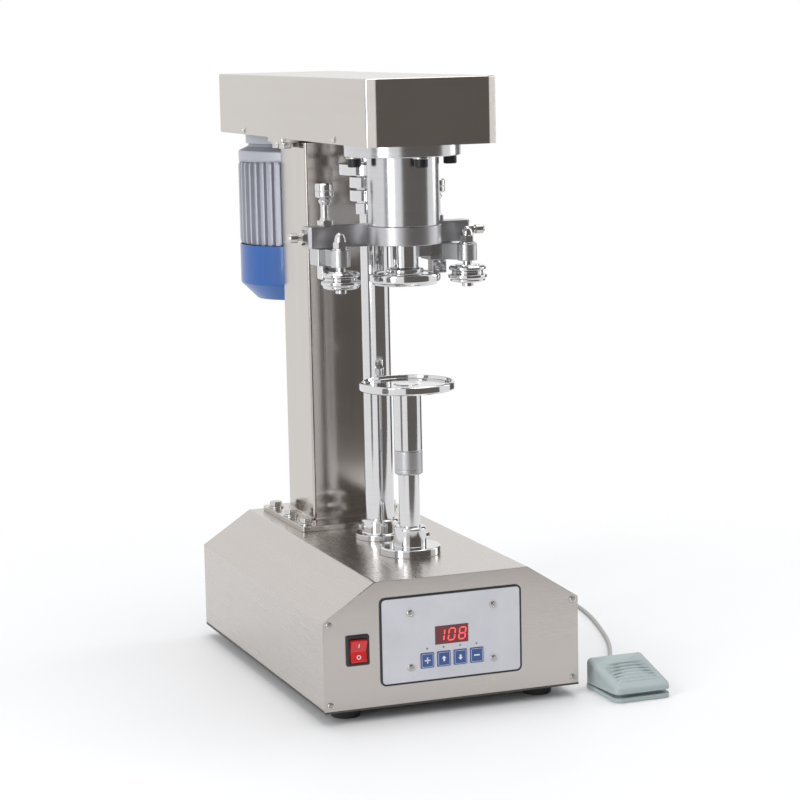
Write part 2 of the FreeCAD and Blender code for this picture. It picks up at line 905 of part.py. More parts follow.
# ---- power inlet and cord gland on the rear plate ----
inlet = new_body("power_inlet", at=(S.inlet_x, rear_y, S.inlet_z))
inlet_body_width = S.inlet_width - 2 * S.fit
inlet_body_height = S.inlet_height - 2 * S.fit
flange_height = S.inlet_height + 2 * S.sheet
add_prism(inlet, "XZ", 0, S.inlet_depth, [box_about(0, 0, inlet_body_width, inlet_body_height)])
add_prism(inlet, "XZ", 0, S.sheet, [rounded_box(0, 0, S.inlet_flange, flange_height, 4)], flip=True)
socket_width = inlet_body_width - 2 * S.socket_wall
socket_height = inlet_body_height - 2 * S.socket_wall
cut_prism(
    inlet, "XZ", -S.sheet, S.socket_depth, [box_about(0, 0, socket_width, socket_height)], flip=True
)
floor_y = S.sheet - S.socket_depth
add_prism(
    inlet, "XZ", -floor_y, S.pin_length,
    [box_about(-7, 0, 2, 4), box_about(0, 3, 2, 4), box_about(7, 0, 2, 4)], flip=True,
)
turned(
    "cord_gland",
    [(S.cord_diameter / 2, -S.gland_reach / 2), (gland_hole - S.fit, -S.gland_reach / 2),
     (gland_hole - S.fit, 0), (S.gland_radius, 0), (S.gland_radius, S.gland_reach * 0.45),
     (S.gland_radius * 0.8, S.gland_reach), (S.cord_diameter / 2, S.gland_reach)],
    at=(S.gland_x, rear_y, S.gland_z), turn=NORTH,
)

# ---- column: square tube welded to a base plate and a top plate ----
column = new_body("column", at=(0, column_y, base_top))
half_side = S.column_side / 2
plate_y = S.column_plate_shift
add_prism(
    column, "XY", 0, S.column_plate,
    [box_about(0, plate_y, S.column_plate_width, S.column_plate_depth)]
    + [disc(x, y - column_y, S.bolt_radius + S.fit) for x, y in column_bolts],
)
add_prism(
    column, "XY", S.column_plate, S.column_height - S.column_plate,
    [rounded_box(0, 0, S.column_side, S.column_side, S.column_wall),
     box_about(0, 0, S.column_side - 2 * S.column_wall, S.column_side - 2 * S.column_wall)],
)
top_bolts = [(sx * S.top_bolt_x, sy * S.top_bolt_y) for sx in (-1, 1) for sy in (-1, 1)]
inner_side = S.column_side - 2 * S.column_wall
add_prism(
    column, "XY", S.column_height - S.column_plate, S.column_plate,
    [box_about(0, 0, S.column_top_width, S.column_top_depth), box_about(0, 0, inner_side, S.column_top_depth / 2)]
    + [disc(x, y, S.bolt_radius + S.fit) for x, y in top_bolts],
)

# ---- guide post with its foot and the stepped clamp that holds its top ----
turned(
    "guide_post",
    [(0, 0), (S.post_radius, 0), (S.post_radius, S.column_height), (0, S.column_height)],
    at=(0, post_y, base_top),
)
post_bore = S.post_radius + S.seat
turned(
    "post_foot",
    [(S.post_foot_radius, 0), (S.post_foot_radius, S.post_foot_height),
     (S.post_collar_radius, S.post_foot_height + 1), (S.post_collar_radius, S.post_collar_height - 2),
     (S.post_collar_radius - 2, S.post_collar_height), (post_bore, S.post_collar_height), (post_bore, 0)],
    at=(0, post_y, base_top),
)


def post_head_profile():
    """Stepped clamp: a flange under the mounting plate, then rings of falling size with necks between."""
    top = S.column_height
    points = [(post_bore, top), (S.post_top_radius, top)]
    z = top - S.post_flange_height + S.post_ring_gap
    points.append((S.post_top_radius, z))
    for radius in (S.post_head_radius, S.post_ring_radius, S.post_ring_radius, S.post_end_radius):
        points.append((S.post_neck_radius, z))
        z = z - S.post_ring_gap
        points.append((S.post_neck_radius, z))
        points.append((radius, z))
        z = z - S.post_ring_height
        points.append((radius, z))
    points.append((post_bore, z))
    return points


turned("post_head", post_head_profile(), at=(0, post_y, base_top))

# ---- mounting plate and hood ----
hood_half = S.hood_width / 2
plate_half = hood_half - S.hood_sheet - S.gap / 2
hood_rear = hood_y + S.hood_length


def hood_outline(inset):
    """The hood seen from above, with its two bevelled front corners, drawn in by an inset."""
    half = hood_half - inset
    low, high = hood_y + inset, hood_rear - inset
    bevel_x, bevel_y = S.hood_bevel_x, S.hood_bevel_y
    return outline(
        [(half - bevel_x, low), (half, low + bevel_y), (half, high), (-half, high),
         (-half, low + bevel_y), (bevel_x - half, low)]
    )


barrel_screws = [
    (0, spindle_y - S.barrel_screw_circle), (0, spindle_y + S.barrel_screw_circle),
    (-S.barrel_screw_circle, spindle_y), (S.barrel_screw_circle, spindle_y),
]
cap_radius = S.bolt_radius + S.fit
prism(
    "mounting_plate", "XY", S.mount_plate,
    [hood_outline(S.hood_sheet + S.gap / 2), disc(0, spindle_y, S.spindle_neck_radius + S.sheet),
     disc(0, motor_y, S.shaft_radius + S.sheet)]
    + [disc(x, y, cap_radius) for x, y in barrel_screws]
    + [disc(x, y + column_y, cap_radius) for x, y in top_bolts],
    at=(0, 0, mount_z),
)
hood = prism("hood", "XY", S.hood_height, [hood_outline(0)], at=(0, 0, mount_z))
cut_prism(hood, "XY", 0, S.hood_height - S.hood_sheet, [hood_outline(S.hood_sheet)], flip=True)
hood_screw_z = mount_z + S.hood_screw_up
hood_screws = [
    (sx * hood_half, hood_y + back, hood_screw_z, EAST if sx > 0 else WEST)
    for sx in (-1, 1)
    for back in (S.hood_screw_front, S.hood_screw_rear)
]
cut_prism(
    hood, "YZ", hood_half, S.hood_width,
    [disc(hood_y + back, S.hood_screw_up, S.screw_radius + S.fit)
     for back in (S.hood_screw_front, S.hood_screw_rear)],
)
plate = nodes[-2]
cut_prism(
    plate, "YZ", plate_half, 2 * plate_half,
    [disc(hood_y + back, S.hood_screw_up, S.screw_radius + S.fit)
     for back in (S.hood_screw_front, S.hood_screw_rear)],
)

group(
    "cover_screws",
    [(cover_screw, (x, front_y, z), SOUTH) for x, z in corner_screws]
    + [(cover_screw, (x, rear_y, z), NORTH) for x, z in corner_screws]
    + [(cover_screw, (x, front_y - S.fascia_depth, z), SOUTH) for x, z in fascia_screws]
    + [(cover_screw, (x, y, z), turn) for x, y, z, turn in hood_screws]
    + [(foot_screw, (x, y, S.foot_screw_seat), DOWN) for x, y in foot_places],
)

# ---- barrel, bearings, roller carrier ----
flange_z = S.barrel_length - S.barrel_flange_height
bearing_seat = S.bearing_radius + S.seat
barrel = turned(
    "barrel",
    [(bearing_seat, 0), (S.barrel_radius, 0), (S.barrel_radius, flange_z),
     (S.barrel_flange_radius, flange_z), (S.barrel_flange_radius, S.barrel_length),
     (bearing_seat, S.barrel_length), (bearing_seat, S.barrel_length - S.bearing_end - S.bearing_width),
     (S.barrel_relief, S.barrel_length - S.bearing_end - S.bearing_width),
     (S.barrel_relief, S.bearing_end + S.bearing_width), (bearing_seat, S.bearing_end + S.bearing_width)],
    at=(0, spindle_y, barrel_z),
)
cut_prism(
    barrel, "XY", S.barrel_length, S.barrel_flange_height,
    [disc(x, y - spindle_y, cap_radius) for x, y in barrel_screws],
)
bearing = turned(
    "bearing_master",
    ring_profile(S.bearing_bore + S.fit, S.bearing_radius, 0, S.bearing_width),
    keep=False,
)
group(
    "spindle_bearings",
    [(bearing, (0, spindle_y, barrel_z + S.bearing_end), None),
     (bearing, (0, spindle_y, mount_z - S.bearing_end - S.bearing_width), None)],
)

carrier = new_body("roller_carrier", at=(0, spindle_y, 0))
ring_z = barrel_z - S.carrier_height
beam_front = S.beam_setback
beam_rear = S.beam_setback + S.beam_depth
pivot_places = [(-S.left_pivot_x, S.pivot_back), (S.right_pivot_x, S.pivot_back)]
stud_hole = S.stud_radius + S.fit
add_prism(
    carrier, "XY", beam_z, S.beam_height,
    [outline(
        [(S.beam_right - S.beam_chamfer, beam_front), (S.beam_right, beam_front + S.beam_chamfer),
         (S.beam_right, beam_rear), (-S.beam_left, beam_rear), (-S.beam_left, beam_front + S.beam_chamfer),
         (S.beam_chamfer - S.beam_left, beam_front)]
    )],
)
add_prism(carrier, "XY", ring_z, S.carrier_height, [disc(0, 0, S.carrier_radius)])
cut_prism(
    carrier, "XY", barrel_z, S.beam_height + S.sheet,
    [disc(0, 0, S.carrier_bore)] + [disc(x, y, stud_hole) for x, y in pivot_places],
)

# ---- fasteners of the frame and head ----
column_bolt = hex_bolt("column_bolt_master", S.column_plate + S.sheet + S.frame_plate)
top_bolt = hex_bolt("top_bolt_master", S.column_plate + S.mount_plate)
washer = turned(
    "washer_master", ring_profile(cap_radius, S.washer_radius, 0, S.washer_height), keep=False
)
set_screw = cap_screw(
    "set_screw_master", S.screw_radius, S.screw_head_radius, S.screw_head_height * 2,
    S.sheet * 2, S.screw_radius,
)
stop_screw = turned(
    "stop_screw_master",
    [(0, -4), (S.stop_screw_radius, -4), (S.stop_screw_radius, 0), (S.stop_nut_radius, 0),
     (S.stop_nut_radius, S.stop_nut_height), (S.stop_screw_radius, S.stop_nut_height),
     (S.stop_screw_radius, S.stop_nut_height + 4), (S.stop_nut_radius - 3, S.stop_nut_height + 4),
     (S.stop_nut_radius - 3, S.stop_screw_reach - 2), (S.stop_screw_radius, S.stop_screw_reach),
     (0, S.stop_screw_reach)],
    keep=False,
)
beam_middle_y = spindle_y + S.beam_setback + S.beam_depth / 2
beam_middle_z = barrel_z - S.beam_height / 2
collar_z = base_top + S.post_collar_height * 0.6
group(
    "frame_bolts",
    [(column_bolt, (x, y, base_top + S.column_plate), None) for x, y in column_bolts]
    + [(top_bolt, (x, column_y + y, mount_z - S.column_plate), DOWN) for x, y in top_bolts]
    + [(washer, (x, y, mount_z - S.barrel_flange_height - S.washer_height), None) for x, y in barrel_screws]
    + [(set_screw, (S.post_collar_radius, post_y, collar_z), EAST),
       (set_screw, (-S.post_collar_radius, post_y, collar_z), WEST),
       (set_screw, (S.lift_collar_radius, spindle_y, base_top + S.lift_flange_height + 10), EAST),
       (stop_screw, (-S.beam_left, beam_middle_y, beam_middle_z), WEST),
       (stop_screw, (S.beam_right, beam_middle_y, beam_middle_z), EAST)],
)
barrel_cap_screw = cap_screw(
    "barrel_screw_master", S.bolt_radius, S.cap_screw_radius, S.cap_screw_height,
    S.washer_height + S.barrel_flange_height + S.mount_plate, S.cap_screw_socket,
)
group(
    "barrel_screws",
    [(barrel_cap_screw, (x, y, mount_z - S.barrel_flange_height - S.washer_height), DOWN)
     for x, y in barrel_screws],
)

# ---- spindle, chuck and belt drive ----
pulley_z = mount_top + S.pulley_base
pulley_top = pulley_z + S.pulley_height
shaft_top = pulley_top + S.pulley_base - chuck_top
turned(
    "spindle",
    [(0, 0), (S.spindle_hub_radius, 0), (S.spindle_hub_radius, S.spindle_hub_height),
     (S.spindle_neck_radius, S.spindle_hub_height), (S.spindle_neck_radius, S.spindle_drop + 1),
     (S.bearing_bore, S.spindle_drop + 1), (S.bearing_bore, shaft_top), (0, shaft_top)],
    at=(0, spindle_y, chuck_top),
)
turned(
    "chuck",
    [(0, S.chuck_recess), (S.chuck_lip_radius - 4, S.chuck_recess), (S.chuck_lip_radius - 3, 0),
     (S.chuck_lip_radius, 0), (S.chuck_radius - S.chuck_rim / 2, S.chuck_height - 2 * S.chuck_rim),
     Arc(S.chuck_radius, S.chuck_height - 1.5 * S.chuck_rim,
         S.chuck_radius - S.chuck_rim / 2, S.chuck_height - 1.5 * S.chuck_rim),
     (S.chuck_radius, S.chuck_height - S.chuck_rim / 2),
     Arc(S.chuck_radius - S.chuck_rim / 2, S.chuck_height,
         S.chuck_radius - S.chuck_rim / 2, S.chuck_height - S.chuck_rim / 2),
     (0, S.chuck_height)],
    at=(0, spindle_y, chuck_z),
)


def pulley(label, radius, bore, x_y):
    """V-belt pulley with one groove at mid height."""
    middle = S.pulley_height / 2
    mouth = S.belt_width / 2 + 1.0
    root = S.belt_width / 2 - 1.5
    return turned(
        label,
        [(bore, 0), (radius, 0), (radius, middle - mouth), (radius - S.groove_depth, middle - root),
         (radius - S.groove_depth, middle + root), (radius, middle + mouth), (radius, S.pulley_height),
         (bore, S.pulley_height)],
        at=(x_y[0], x_y[1], pulley_z),
    )


pulley("spindle_pulley", S.spindle_pulley_radius, S.bearing_bore + S.seat, (0, spindle_y))
pulley("motor_pulley", S.motor_pulley_radius, S.shaft_radius + S.seat, (0, motor_y))


def belt_face(big, small, distance):
    """The outline round two circles on the Y axis, joined by their outer tangents."""
    lean = (big - small) / distance
    cosine = math.sqrt(1 - lean * lean)
    front_right = FreeCAD.Vector(big * cosine, big * lean, 0)
    rear_right = FreeCAD.Vector(small * cosine, distance + small * lean, 0)
    front_left = FreeCAD.Vector(-big * cosine, big * lean, 0)
    rear_left = FreeCAD.Vector(-small * cosine, distance + small * lean, 0)
    edges = [
        Part.LineSegment(front_right, rear_right).toShape(),
        Part.Arc(rear_right, FreeCAD.Vector(0, distance + small, 0), rear_left).toShape(),
        Part.LineSegment(rear_left, front_left).toShape(),
        Part.Arc(front_left, FreeCAD.Vector(0, -big, 0), front_right).toShape(),
    ]
    return Part.Face(Part.Wire(edges))


def make_belt():
    """Endless belt in the pulleys' grooves, its back a little below their rims."""
    distance = (motor_y - spindle_y).value
    inner = (S.groove_depth - S.gap).value
    outer = (S.groove_depth - S.gap - S.belt_thickness).value
    narrow = (S.belt_width - 4 * S.gap).value - 3.0
    big, small = S.spindle_pulley_radius.value, S.motor_pulley_radius.value
    loop = belt_face(big - outer, small - outer, distance)
    hollow = belt_face(big - inner, small - inner, distance)
    return loop.cut(hollow).extrude(FreeCAD.Vector(0, 0, narrow))


belt_height = S.belt_width - 4 * S.gap - 3.0
part_feature("drive_belt", make_belt(), at=(0, spindle_y, pulley_z + (S.pulley_height - belt_height) / 2))

# ---- motor ----
body_top = mount_z - S.shield_height
body_z = body_top - S.motor_length
cowl_z = body_z - S.cowl_height
motor = turned(
    "motor_body",
    ring_profile(S.stator_bore, S.motor_core_radius, 0, S.motor_length),
    at=(0, motor_y, body_z),
)
fin = add_prism(
    motor, "XY", 0, S.motor_length,
    [rectangle(S.motor_core_radius - 1, -S.fin_width / 2, S.motor_radius, S.fin_width / 2)],
)
polar(motor, fin, S.fin_count)
shield = turned(
    "motor_shield",
    [(S.shaft_radius + S.fit, S.shield_height), (S.shield_flange_radius, S.shield_height),
     (S.shield_flange_radius, S.shield_height - S.shield_flange_height),
     (S.motor_core_radius - 8, S.shield_height - S.shield_flange_height),
     (S.motor_radius - 1, S.shield_flange_height), (S.motor_radius - 1, 0), (S.stator_bore, 0),
     (S.stator_bore, S.shield_flange_height), (S.shaft_radius + S.fit, S.shield_flange_height)],
    at=(0, motor_y, body_top),
)
cowl = turned(
    "fan_cowl",
    [(S.motor_radius - S.cowl_chamfer, 0), (S.motor_radius, S.cowl_chamfer), (S.motor_radius, S.cowl_height),
     (S.motor_radius - S.cowl_sheet, S.cowl_height), (S.motor_radius - S.cowl_sheet, S.cowl_chamfer + 1),
     (S.motor_radius - S.cowl_chamfer - 1, S.cowl_sheet), (0, S.cowl_sheet), (0, 0)],
    at=(0, motor_y, cowl_z),
)
slot = cut_prism(
    cowl, "XY", S.cowl_sheet, S.cowl_sheet,
    [rounded_box(32, 0, 24, 4, 1.5)],
)
polar(cowl, slot, 16)

rotor_z = body_z + 8
rotor = new_body("motor_rotor", at=(0, motor_y, 0))
rotor_top = body_top - 4
add_turned(
    rotor,
    [(0, cowl_z + 8), (S.shaft_radius, cowl_z + 8), (S.shaft_radius, rotor_z), (S.rotor_radius, rotor_z),
     (S.rotor_radius, rotor_top), (S.shaft_radius, rotor_top), (S.shaft_radius, pulley_top + S.pulley_base),
     (0, pulley_top + S.pulley_base)],
)
fan_z = cowl_z + S.cowl_chamfer + 4
add_prism(rotor, "XY", fan_z, S.fan_height, [disc(0, 0, S.fan_hub_radius)])
blade = add_prism(
    rotor, "XY", fan_z, S.fan_height,
    [rectangle(S.fan_hub_radius - 2, -1.2, S.fan_radius, 1.2)],
)
polar(rotor, blade, 8)

# ---- seaming levers, their studs and the rollers ----
lever_top = beam_z - S.gap
lever_z = lever_top - S.lever_height
roller_top = lever_z - S.roller_drop
roller_z = roller_top - S.roller_height


def make_lever(label, side, pivot_x, tail):
    """A lever from its pivot block forward to the round boss that carries the roller."""
    body = new_body(label, at=(0, spindle_y, lever_z))
    pin_x = side * S.roller_x
    pivot_at = side * pivot_x
    half_block = S.lever_block / 2
    half_bar = S.lever_bar / 2
    block = [box_about(pivot_at, S.pivot_back, S.lever_block, S.lever_block)]
    add_prism(body, "XY", 0, S.lever_height, block)
    bar = outline(
        [(pin_x + half_bar, 0), (pivot_at + half_bar, S.pivot_back),
         (pivot_at - half_bar, S.pivot_back), (pin_x - half_bar, 0)]
    )
    add_prism(body, "XY", 0, S.lever_height, [bar])
    add_prism(body, "XY", 0, S.lever_height, [disc(pin_x, 0, S.lever_boss_radius)])
    if tail:
        reach = pivot_at - half_block - S.lever_tail / 2
        add_prism(
            body, "XY", S.lever_height - S.lever_bar, S.lever_bar,
            [rectangle(reach, S.pivot_back - half_block, pivot_at, S.pivot_back)],
        )
    cut_prism(
        body, "XY", S.lever_height, S.lever_height,
        [disc(pin_x, 0, S.pin_radius + S.fit), disc(pivot_at, S.pivot_back, S.stud_radius + S.seat)],
    )
    return body


def stud_master(label):
    """Pivot stud: retaining block below the lever, hexagon nut over the beam, round nut at its top."""
    body = new_body(label, keep=False)
    low = -S.stud_block_height
    over_beam = S.lever_height + S.gap + S.beam_height + S.gap
    top = over_beam + S.stud_rise
    nut_low = top - S.stud_nut_height
    add_prism(body, "XY", low, S.stud_block_height, [box_about(0, 0, S.stud_block, S.stud_block)])
    add_turned(
        body,
        [(0, low), (S.stud_radius, low), (S.stud_radius, over_beam + S.hex_nut_height),
         (S.stud_radius - 1.5, over_beam + S.hex_nut_height + 3), (S.stud_radius - 1.5, nut_low - 8),
         (S.stud_radius + 1, nut_low - 4), (S.stud_radius - 1.5, nut_low), (S.stud_nut_radius, nut_low),
         (S.stud_nut_radius, top - 1.5), (S.stud_nut_radius - 1.5, top), (0, top)],
    )
    corners = [
        (S.hex_nut_radius * math.cos(k * math.pi / 3), S.hex_nut_radius * math.sin(k * math.pi / 3))
        for k in range(6)
    ]
    add_prism(body, "XY", over_beam, S.hex_nut_height, [outline(corners)])
    return body


def pin_master(label):
    """Roller pin: head under the roller, washer and acorn nut on top of the lever's boss."""
    head_top = -S.roller_drop - S.roller_height - S.gap
    head_low = head_top - S.pin_head_height
    seat_z = S.lever_height
    nut_z = seat_z + S.washer_height
    dome_z = nut_z + S.acorn_height - S.acorn_radius - S.washer_height
    dome = S.acorn_radius - 1
    return turned(
        label,
        [(0, head_low), (S.pin_head_radius, head_low), (S.pin_head_radius, head_top), (S.pin_radius, head_top),
         (S.pin_radius, seat_z), (S.washer_radius, seat_z), (S.washer_radius, nut_z),
         (S.acorn_radius, nut_z), (S.acorn_radius, dome_z - 2), (dome, dome_z),
         Arc(0, dome_z + dome, 0, dome_z)],
        keep=False,
    )


def roller_profile():
    """Grooved seaming roller with two rims, and a raised inner race that spaces it from the lever."""
    bore = S.pin_radius + S.fit
    rim = S.roller_radius
    deep = S.roller_groove
    full = S.roller_height
    return [
        (bore, 0), (rim - 5, 0), (rim - 2, 1.5), (rim - 2, 3.5), (rim, 5), (rim, full * 0.42),
        (deep, full * 0.5), (deep, full * 0.62), (rim - 1, full * 0.72), (rim - 1, full - 3),
        (rim - 3, full - 1), (rim - 8, full - 1), (rim - 8, full), (bore, full),
    ]


stud = stud_master("stud_master")
pin = pin_master("pin_master")
for name, side, pivot_x, tail in (
    ("left", -1, S.left_pivot_x, False),
    ("right", 1, S.right_pivot_x, True),
):
    make_lever("lever_" + name, side, pivot_x, tail)
    group(
        "lever_studs_" + name,
        [(stud, (side * pivot_x, spindle_y + S.pivot_back, lever_z), None),
         (pin, (side * S.roller_x, spindle_y, lever_z), None)],
    )
    turned("roller_" + name, roller_profile(), at=(side * S.roller_x, spindle_y, roller_z))

# ---- lift: guide, rod, lock ring, sleeve, bearing and turntable ----
turned(
    "lift_guide",
    [(S.lift_flange_radius, 0), (S.lift_flange_radius, S.lift_flange_height - 1),
     (S.lift_flange_radius - 1, S.lift_flange_height), (S.lift_collar_radius, S.lift_flange_height),
     (S.lift_collar_radius, S.lift_flange_height + S.lift_collar_height - 2),
     (S.lift_collar_radius - 2, S.lift_flange_height + S.lift_collar_height),
     (S.rod_radius + S.fit, S.lift_flange_height + S.lift_collar_height), (S.rod_radius + S.fit, 0)],
    at=(0, spindle_y, base_top),
)
sleeve_z = base_top + S.sleeve_bottom
ring_low = sleeve_z - S.ring_height
sleeve_top = sleeve_z + S.sleeve_height
table_z = sleeve_top + S.gap
follower_z = S.cam_axis_z + S.cam_base_radius + S.follower_radius + S.gap
rod = new_body("lift_rod", at=(0, spindle_y, 0))
fork_half = S.fork_width / 2
fork_top = follower_z + S.follower_radius + 3
add_turned(
    rod,
    [(0, fork_top), (S.rod_radius, fork_top), (S.rod_radius, sleeve_z + S.rod_in_sleeve),
     (0, sleeve_z + S.rod_in_sleeve)],
)
add_prism(
    rod, "XZ", -fork_half, S.fork_width,
    [outline(
        [(fork_half / 1.5, follower_z - 5), (fork_half / 1.5, fork_top + 5),
         (-fork_half / 1.5, fork_top + 5), (-fork_half / 1.5, follower_z - 5)]
    )],
)
slot_half = S.follower_width / 2 + S.gap
cut_prism(
    rod, "XZ", slot_half, 2 * slot_half,
    [rectangle(-fork_half, follower_z - 6, fork_half, fork_top)],
)
cut_prism(
    rod, "XZ", fork_half, S.fork_width,
    [disc(0, follower_z, S.follower_pin_radius - 1)],
)
follower = new_body("cam_follower", at=(0, spindle_y, follower_z))
add_prism(
    follower, "XZ", -(slot_half - S.gap), S.follower_width, [disc(0, 0, S.follower_radius)]
)
add_prism(follower, "XZ", -fork_half, S.fork_width, [disc(0, 0, S.follower_pin_radius - 1 - S.fit)])


def make_lift_cam():
    """Constant-rise cam: its pitch curve grows evenly with angle over half a turn, then falls back."""
    base = (S.cam_base_radius + S.follower_radius).value
    rise = S.lift_travel.value
    roller = S.follower_radius.value
    points = []
    steps = 24
    for k in range(steps + 1):
        angle = math.pi * k / steps
        points.append(cam_point(base, rise / math.pi, angle, roller))
    growing = Part.BSplineCurve()
    growing.interpolate([FreeCAD.Vector(x, 0, z) for x, z in points])
    x0, z0 = points[0]
    x1, z1 = points[-1]
    start = FreeCAD.Vector(x0, 0, z0)
    end = FreeCAD.Vector(x1, 0, z1)
    side = FreeCAD.Vector(-(base + rise - roller) * 0.62, 0, (z0 + z1) * 0.5)
    falling = Part.Arc(end, side, start)
    wire = Part.Wire([growing.toShape(), falling.toShape()])
    disc_solid = Part.Face(wire).extrude(FreeCAD.Vector(0, S.cam_width.value, 0))
    shaft = Part.makeCylinder(
        S.cam_shaft_radius.value, S.lift_motor_gap.value + S.cam_width.value,
        FreeCAD.Vector(0, 0, 0), Y_AXIS,
    )
    return disc_solid.fuse(shaft).removeSplitter()


def cam_point(base, growth, angle, roller):
    """A point of the cam face: the pitch curve r = base + growth * angle, moved in by the roller."""
    radius = base + growth * angle
    length = math.hypot(radius, growth)
    inward_r = radius - roller * radius / length
    inward_t = roller * growth / length
    x = inward_r * math.sin(angle) + inward_t * math.cos(angle)
    z = inward_r * math.cos(angle) - inward_t * math.sin(angle)
    return x, z


part_feature("lift_cam", make_lift_cam(), at=(0, spindle_y - S.cam_width / 2, S.cam_axis_z))
lift_motor = new_body(
    "lift_motor", at=(0, spindle_y + S.cam_width / 2 + S.lift_motor_gap + S.gap, S.cam_axis_z)
)
add_prism(
    lift_motor, "XZ", 0, S.lift_motor_length,
    [disc(0, 0, S.lift_motor_radius)], flip=True,
)
foot_low = cover_z - S.cam_axis_z
add_prism(
    lift_motor, "XZ", 0, S.frame_plate,
    [rectangle(-S.lift_motor_radius, foot_low, S.lift_motor_radius, 0)], flip=True,
)
add_prism(
    lift_motor, "XZ", 0, S.lift_motor_length,
    [rectangle(-S.lift_motor_radius, foot_low, S.lift_motor_radius, foot_low + S.frame_plate)], flip=True,
)

turned(
    "lock_ring",
    [(S.rod_radius + S.seat, 0), (S.sleeve_radius - 1, 0), (S.sleeve_radius, 1),
     (S.sleeve_radius, S.ring_height - 1), (S.sleeve_radius - 1, S.ring_height),
     (S.rod_radius + S.seat, S.ring_height)],
    at=(0, spindle_y, ring_low),
)
bearing_low = S.sleeve_height - S.table_bearing_width - 3
turned(
    "lift_sleeve",
    [(S.rod_radius + S.seat, 0), (S.sleeve_radius, 0), (S.sleeve_radius, S.sleeve_height),
     (S.table_bearing_radius + S.seat, S.sleeve_height), (S.table_bearing_radius + S.seat, bearing_low),
     (S.rod_radius - 2, bearing_low), (S.rod_radius - 2, S.rod_in_sleeve),
     (S.rod_radius + S.seat, S.rod_in_sleeve)],
    at=(0, spindle_y, sleeve_z),
)
turned(
    "table_bearing",
    ring_profile(S.table_shaft_radius + S.fit, S.table_bearing_radius, 0, S.table_bearing_width),
    at=(0, spindle_y, sleeve_z + bearing_low),
)
turned(
    "turntable",
    [(0, -S.table_bearing_width - 3), (S.table_shaft_radius, -S.table_bearing_width - 3),
     (S.table_shaft_radius, 0), (S.table_radius - 1, 0), (S.table_radius, 1),
     (S.table_radius, S.table_height - 1), (S.table_radius - 1, S.table_height),
     (S.table_recess_radius + 1, S.table_height), (S.table_recess_radius, S.table_height - S.table_recess),
     (S.rod_radius, S.table_height - S.table_recess), (S.rod_radius - 1, S.table_height - S.table_recess + 1),
     (0, S.table_height - S.table_recess + 1)],
    at=(0, spindle_y, table_z),
)

# ---- foot switch ----
pedal_rear = S.pedal_front + S.pedal_length
half_pedal = S.pedal_width / 2
pedal_back = S.pedal_length
pedal_base = prism(
    "pedal_base", "XY", S.pedal_split,
    [rounded_box(0, S.pedal_length / 2, S.pedal_width, S.pedal_length, S.pedal_corner)],
    at=(S.pedal_x, S.pedal_front, 0),
)
tub_inset = S.pedal_tub_inset
tub_top = S.pedal_split + S.pedal_tub_height
add_prism(
    pedal_base, "XY", S.pedal_split, S.pedal_tub_height,
    [rounded_box(0, S.pedal_length / 2, S.pedal_width - 2 * (S.pedal_wall * 2 + S.gap * 2),
                 S.pedal_length - 2 * (S.pedal_wall * 2 + S.pedal_taper), S.pedal_corner - tub_inset)],
)
post_half = S.pedal_width / 2 - S.pedal_wall * 2.5
pin_y = S.pedal_length - S.pedal_pin_inset
add_prism(
    pedal_base, "YZ", -post_half, 2 * post_half,
    [outline(
        [(pin_y - 4, S.pedal_split), (pin_y + 4, S.pedal_split), (pin_y + 4, S.pedal_pin_z + 4),
         (pin_y - 4, S.pedal_pin_z + 4)]
    )],
)
add_prism(
    pedal_base, "XZ", -S.pedal_length, S.pedal_gland_reach,
    [disc(0, S.pedal_gland_radius + S.gap, S.pedal_gland_radius)], flip=True,
)
pin_hole = S.pedal_pin_radius + S.seat
cut_prism(pedal_base, "YZ", post_half, 2 * post_half, [disc(pin_y, S.pedal_pin_z, pin_hole)])
lid = new_body("pedal_lid", at=(S.pedal_x, S.pedal_front, 0))
front_top = S.pedal_front_height
rear_top = S.pedal_rear_height
add_prism(
    lid, "YZ", -half_pedal, S.pedal_width,
    [outline(
        [(0, S.lid_front_low), (pedal_back, S.lid_rear_low), (pedal_back - S.pedal_taper, rear_top - 4),
         (pedal_back - S.pedal_taper - 5, rear_top), (pedal_back * 0.45, rear_top),
         (S.pedal_taper, front_top + 2), (0, front_top)]
    )],
)
round_edges(lid, S.pedal_corner, upright)
cut_prism(
    lid, "YZ", half_pedal - S.pedal_wall * 2, S.pedal_width - S.pedal_wall * 4,
    [outline(
        [(S.pedal_wall, 0), (pedal_back - S.pedal_wall * 2, 0),
         (pedal_back - S.pedal_wall * 2, rear_top - S.pedal_wall), (pedal_back * 0.45, rear_top - S.pedal_wall),
         (S.pedal_wall, front_top - S.pedal_wall / 2)]
    )],
)
cut_prism(
    lid, "YZ", half_pedal, S.pedal_width, [disc(pin_y, S.pedal_pin_z, S.pedal_pin_radius + S.fit)]
)
cut_prism(
    lid, "XZ", -S.pedal_length, S.pedal_wall * 3,
    [disc(0, S.pedal_gland_radius + S.gap, S.pedal_gland_radius + 4 * S.gap)], flip=True,
)
prism(
    "pedal_pin", "YZ", S.pedal_width - S.pedal_wall, [disc(0, 0, S.pedal_pin_radius)],
    at=(S.pedal_x - half_pedal + S.pedal_wall / 2, S.pedal_front + pin_y, S.pedal_pin_z),
)

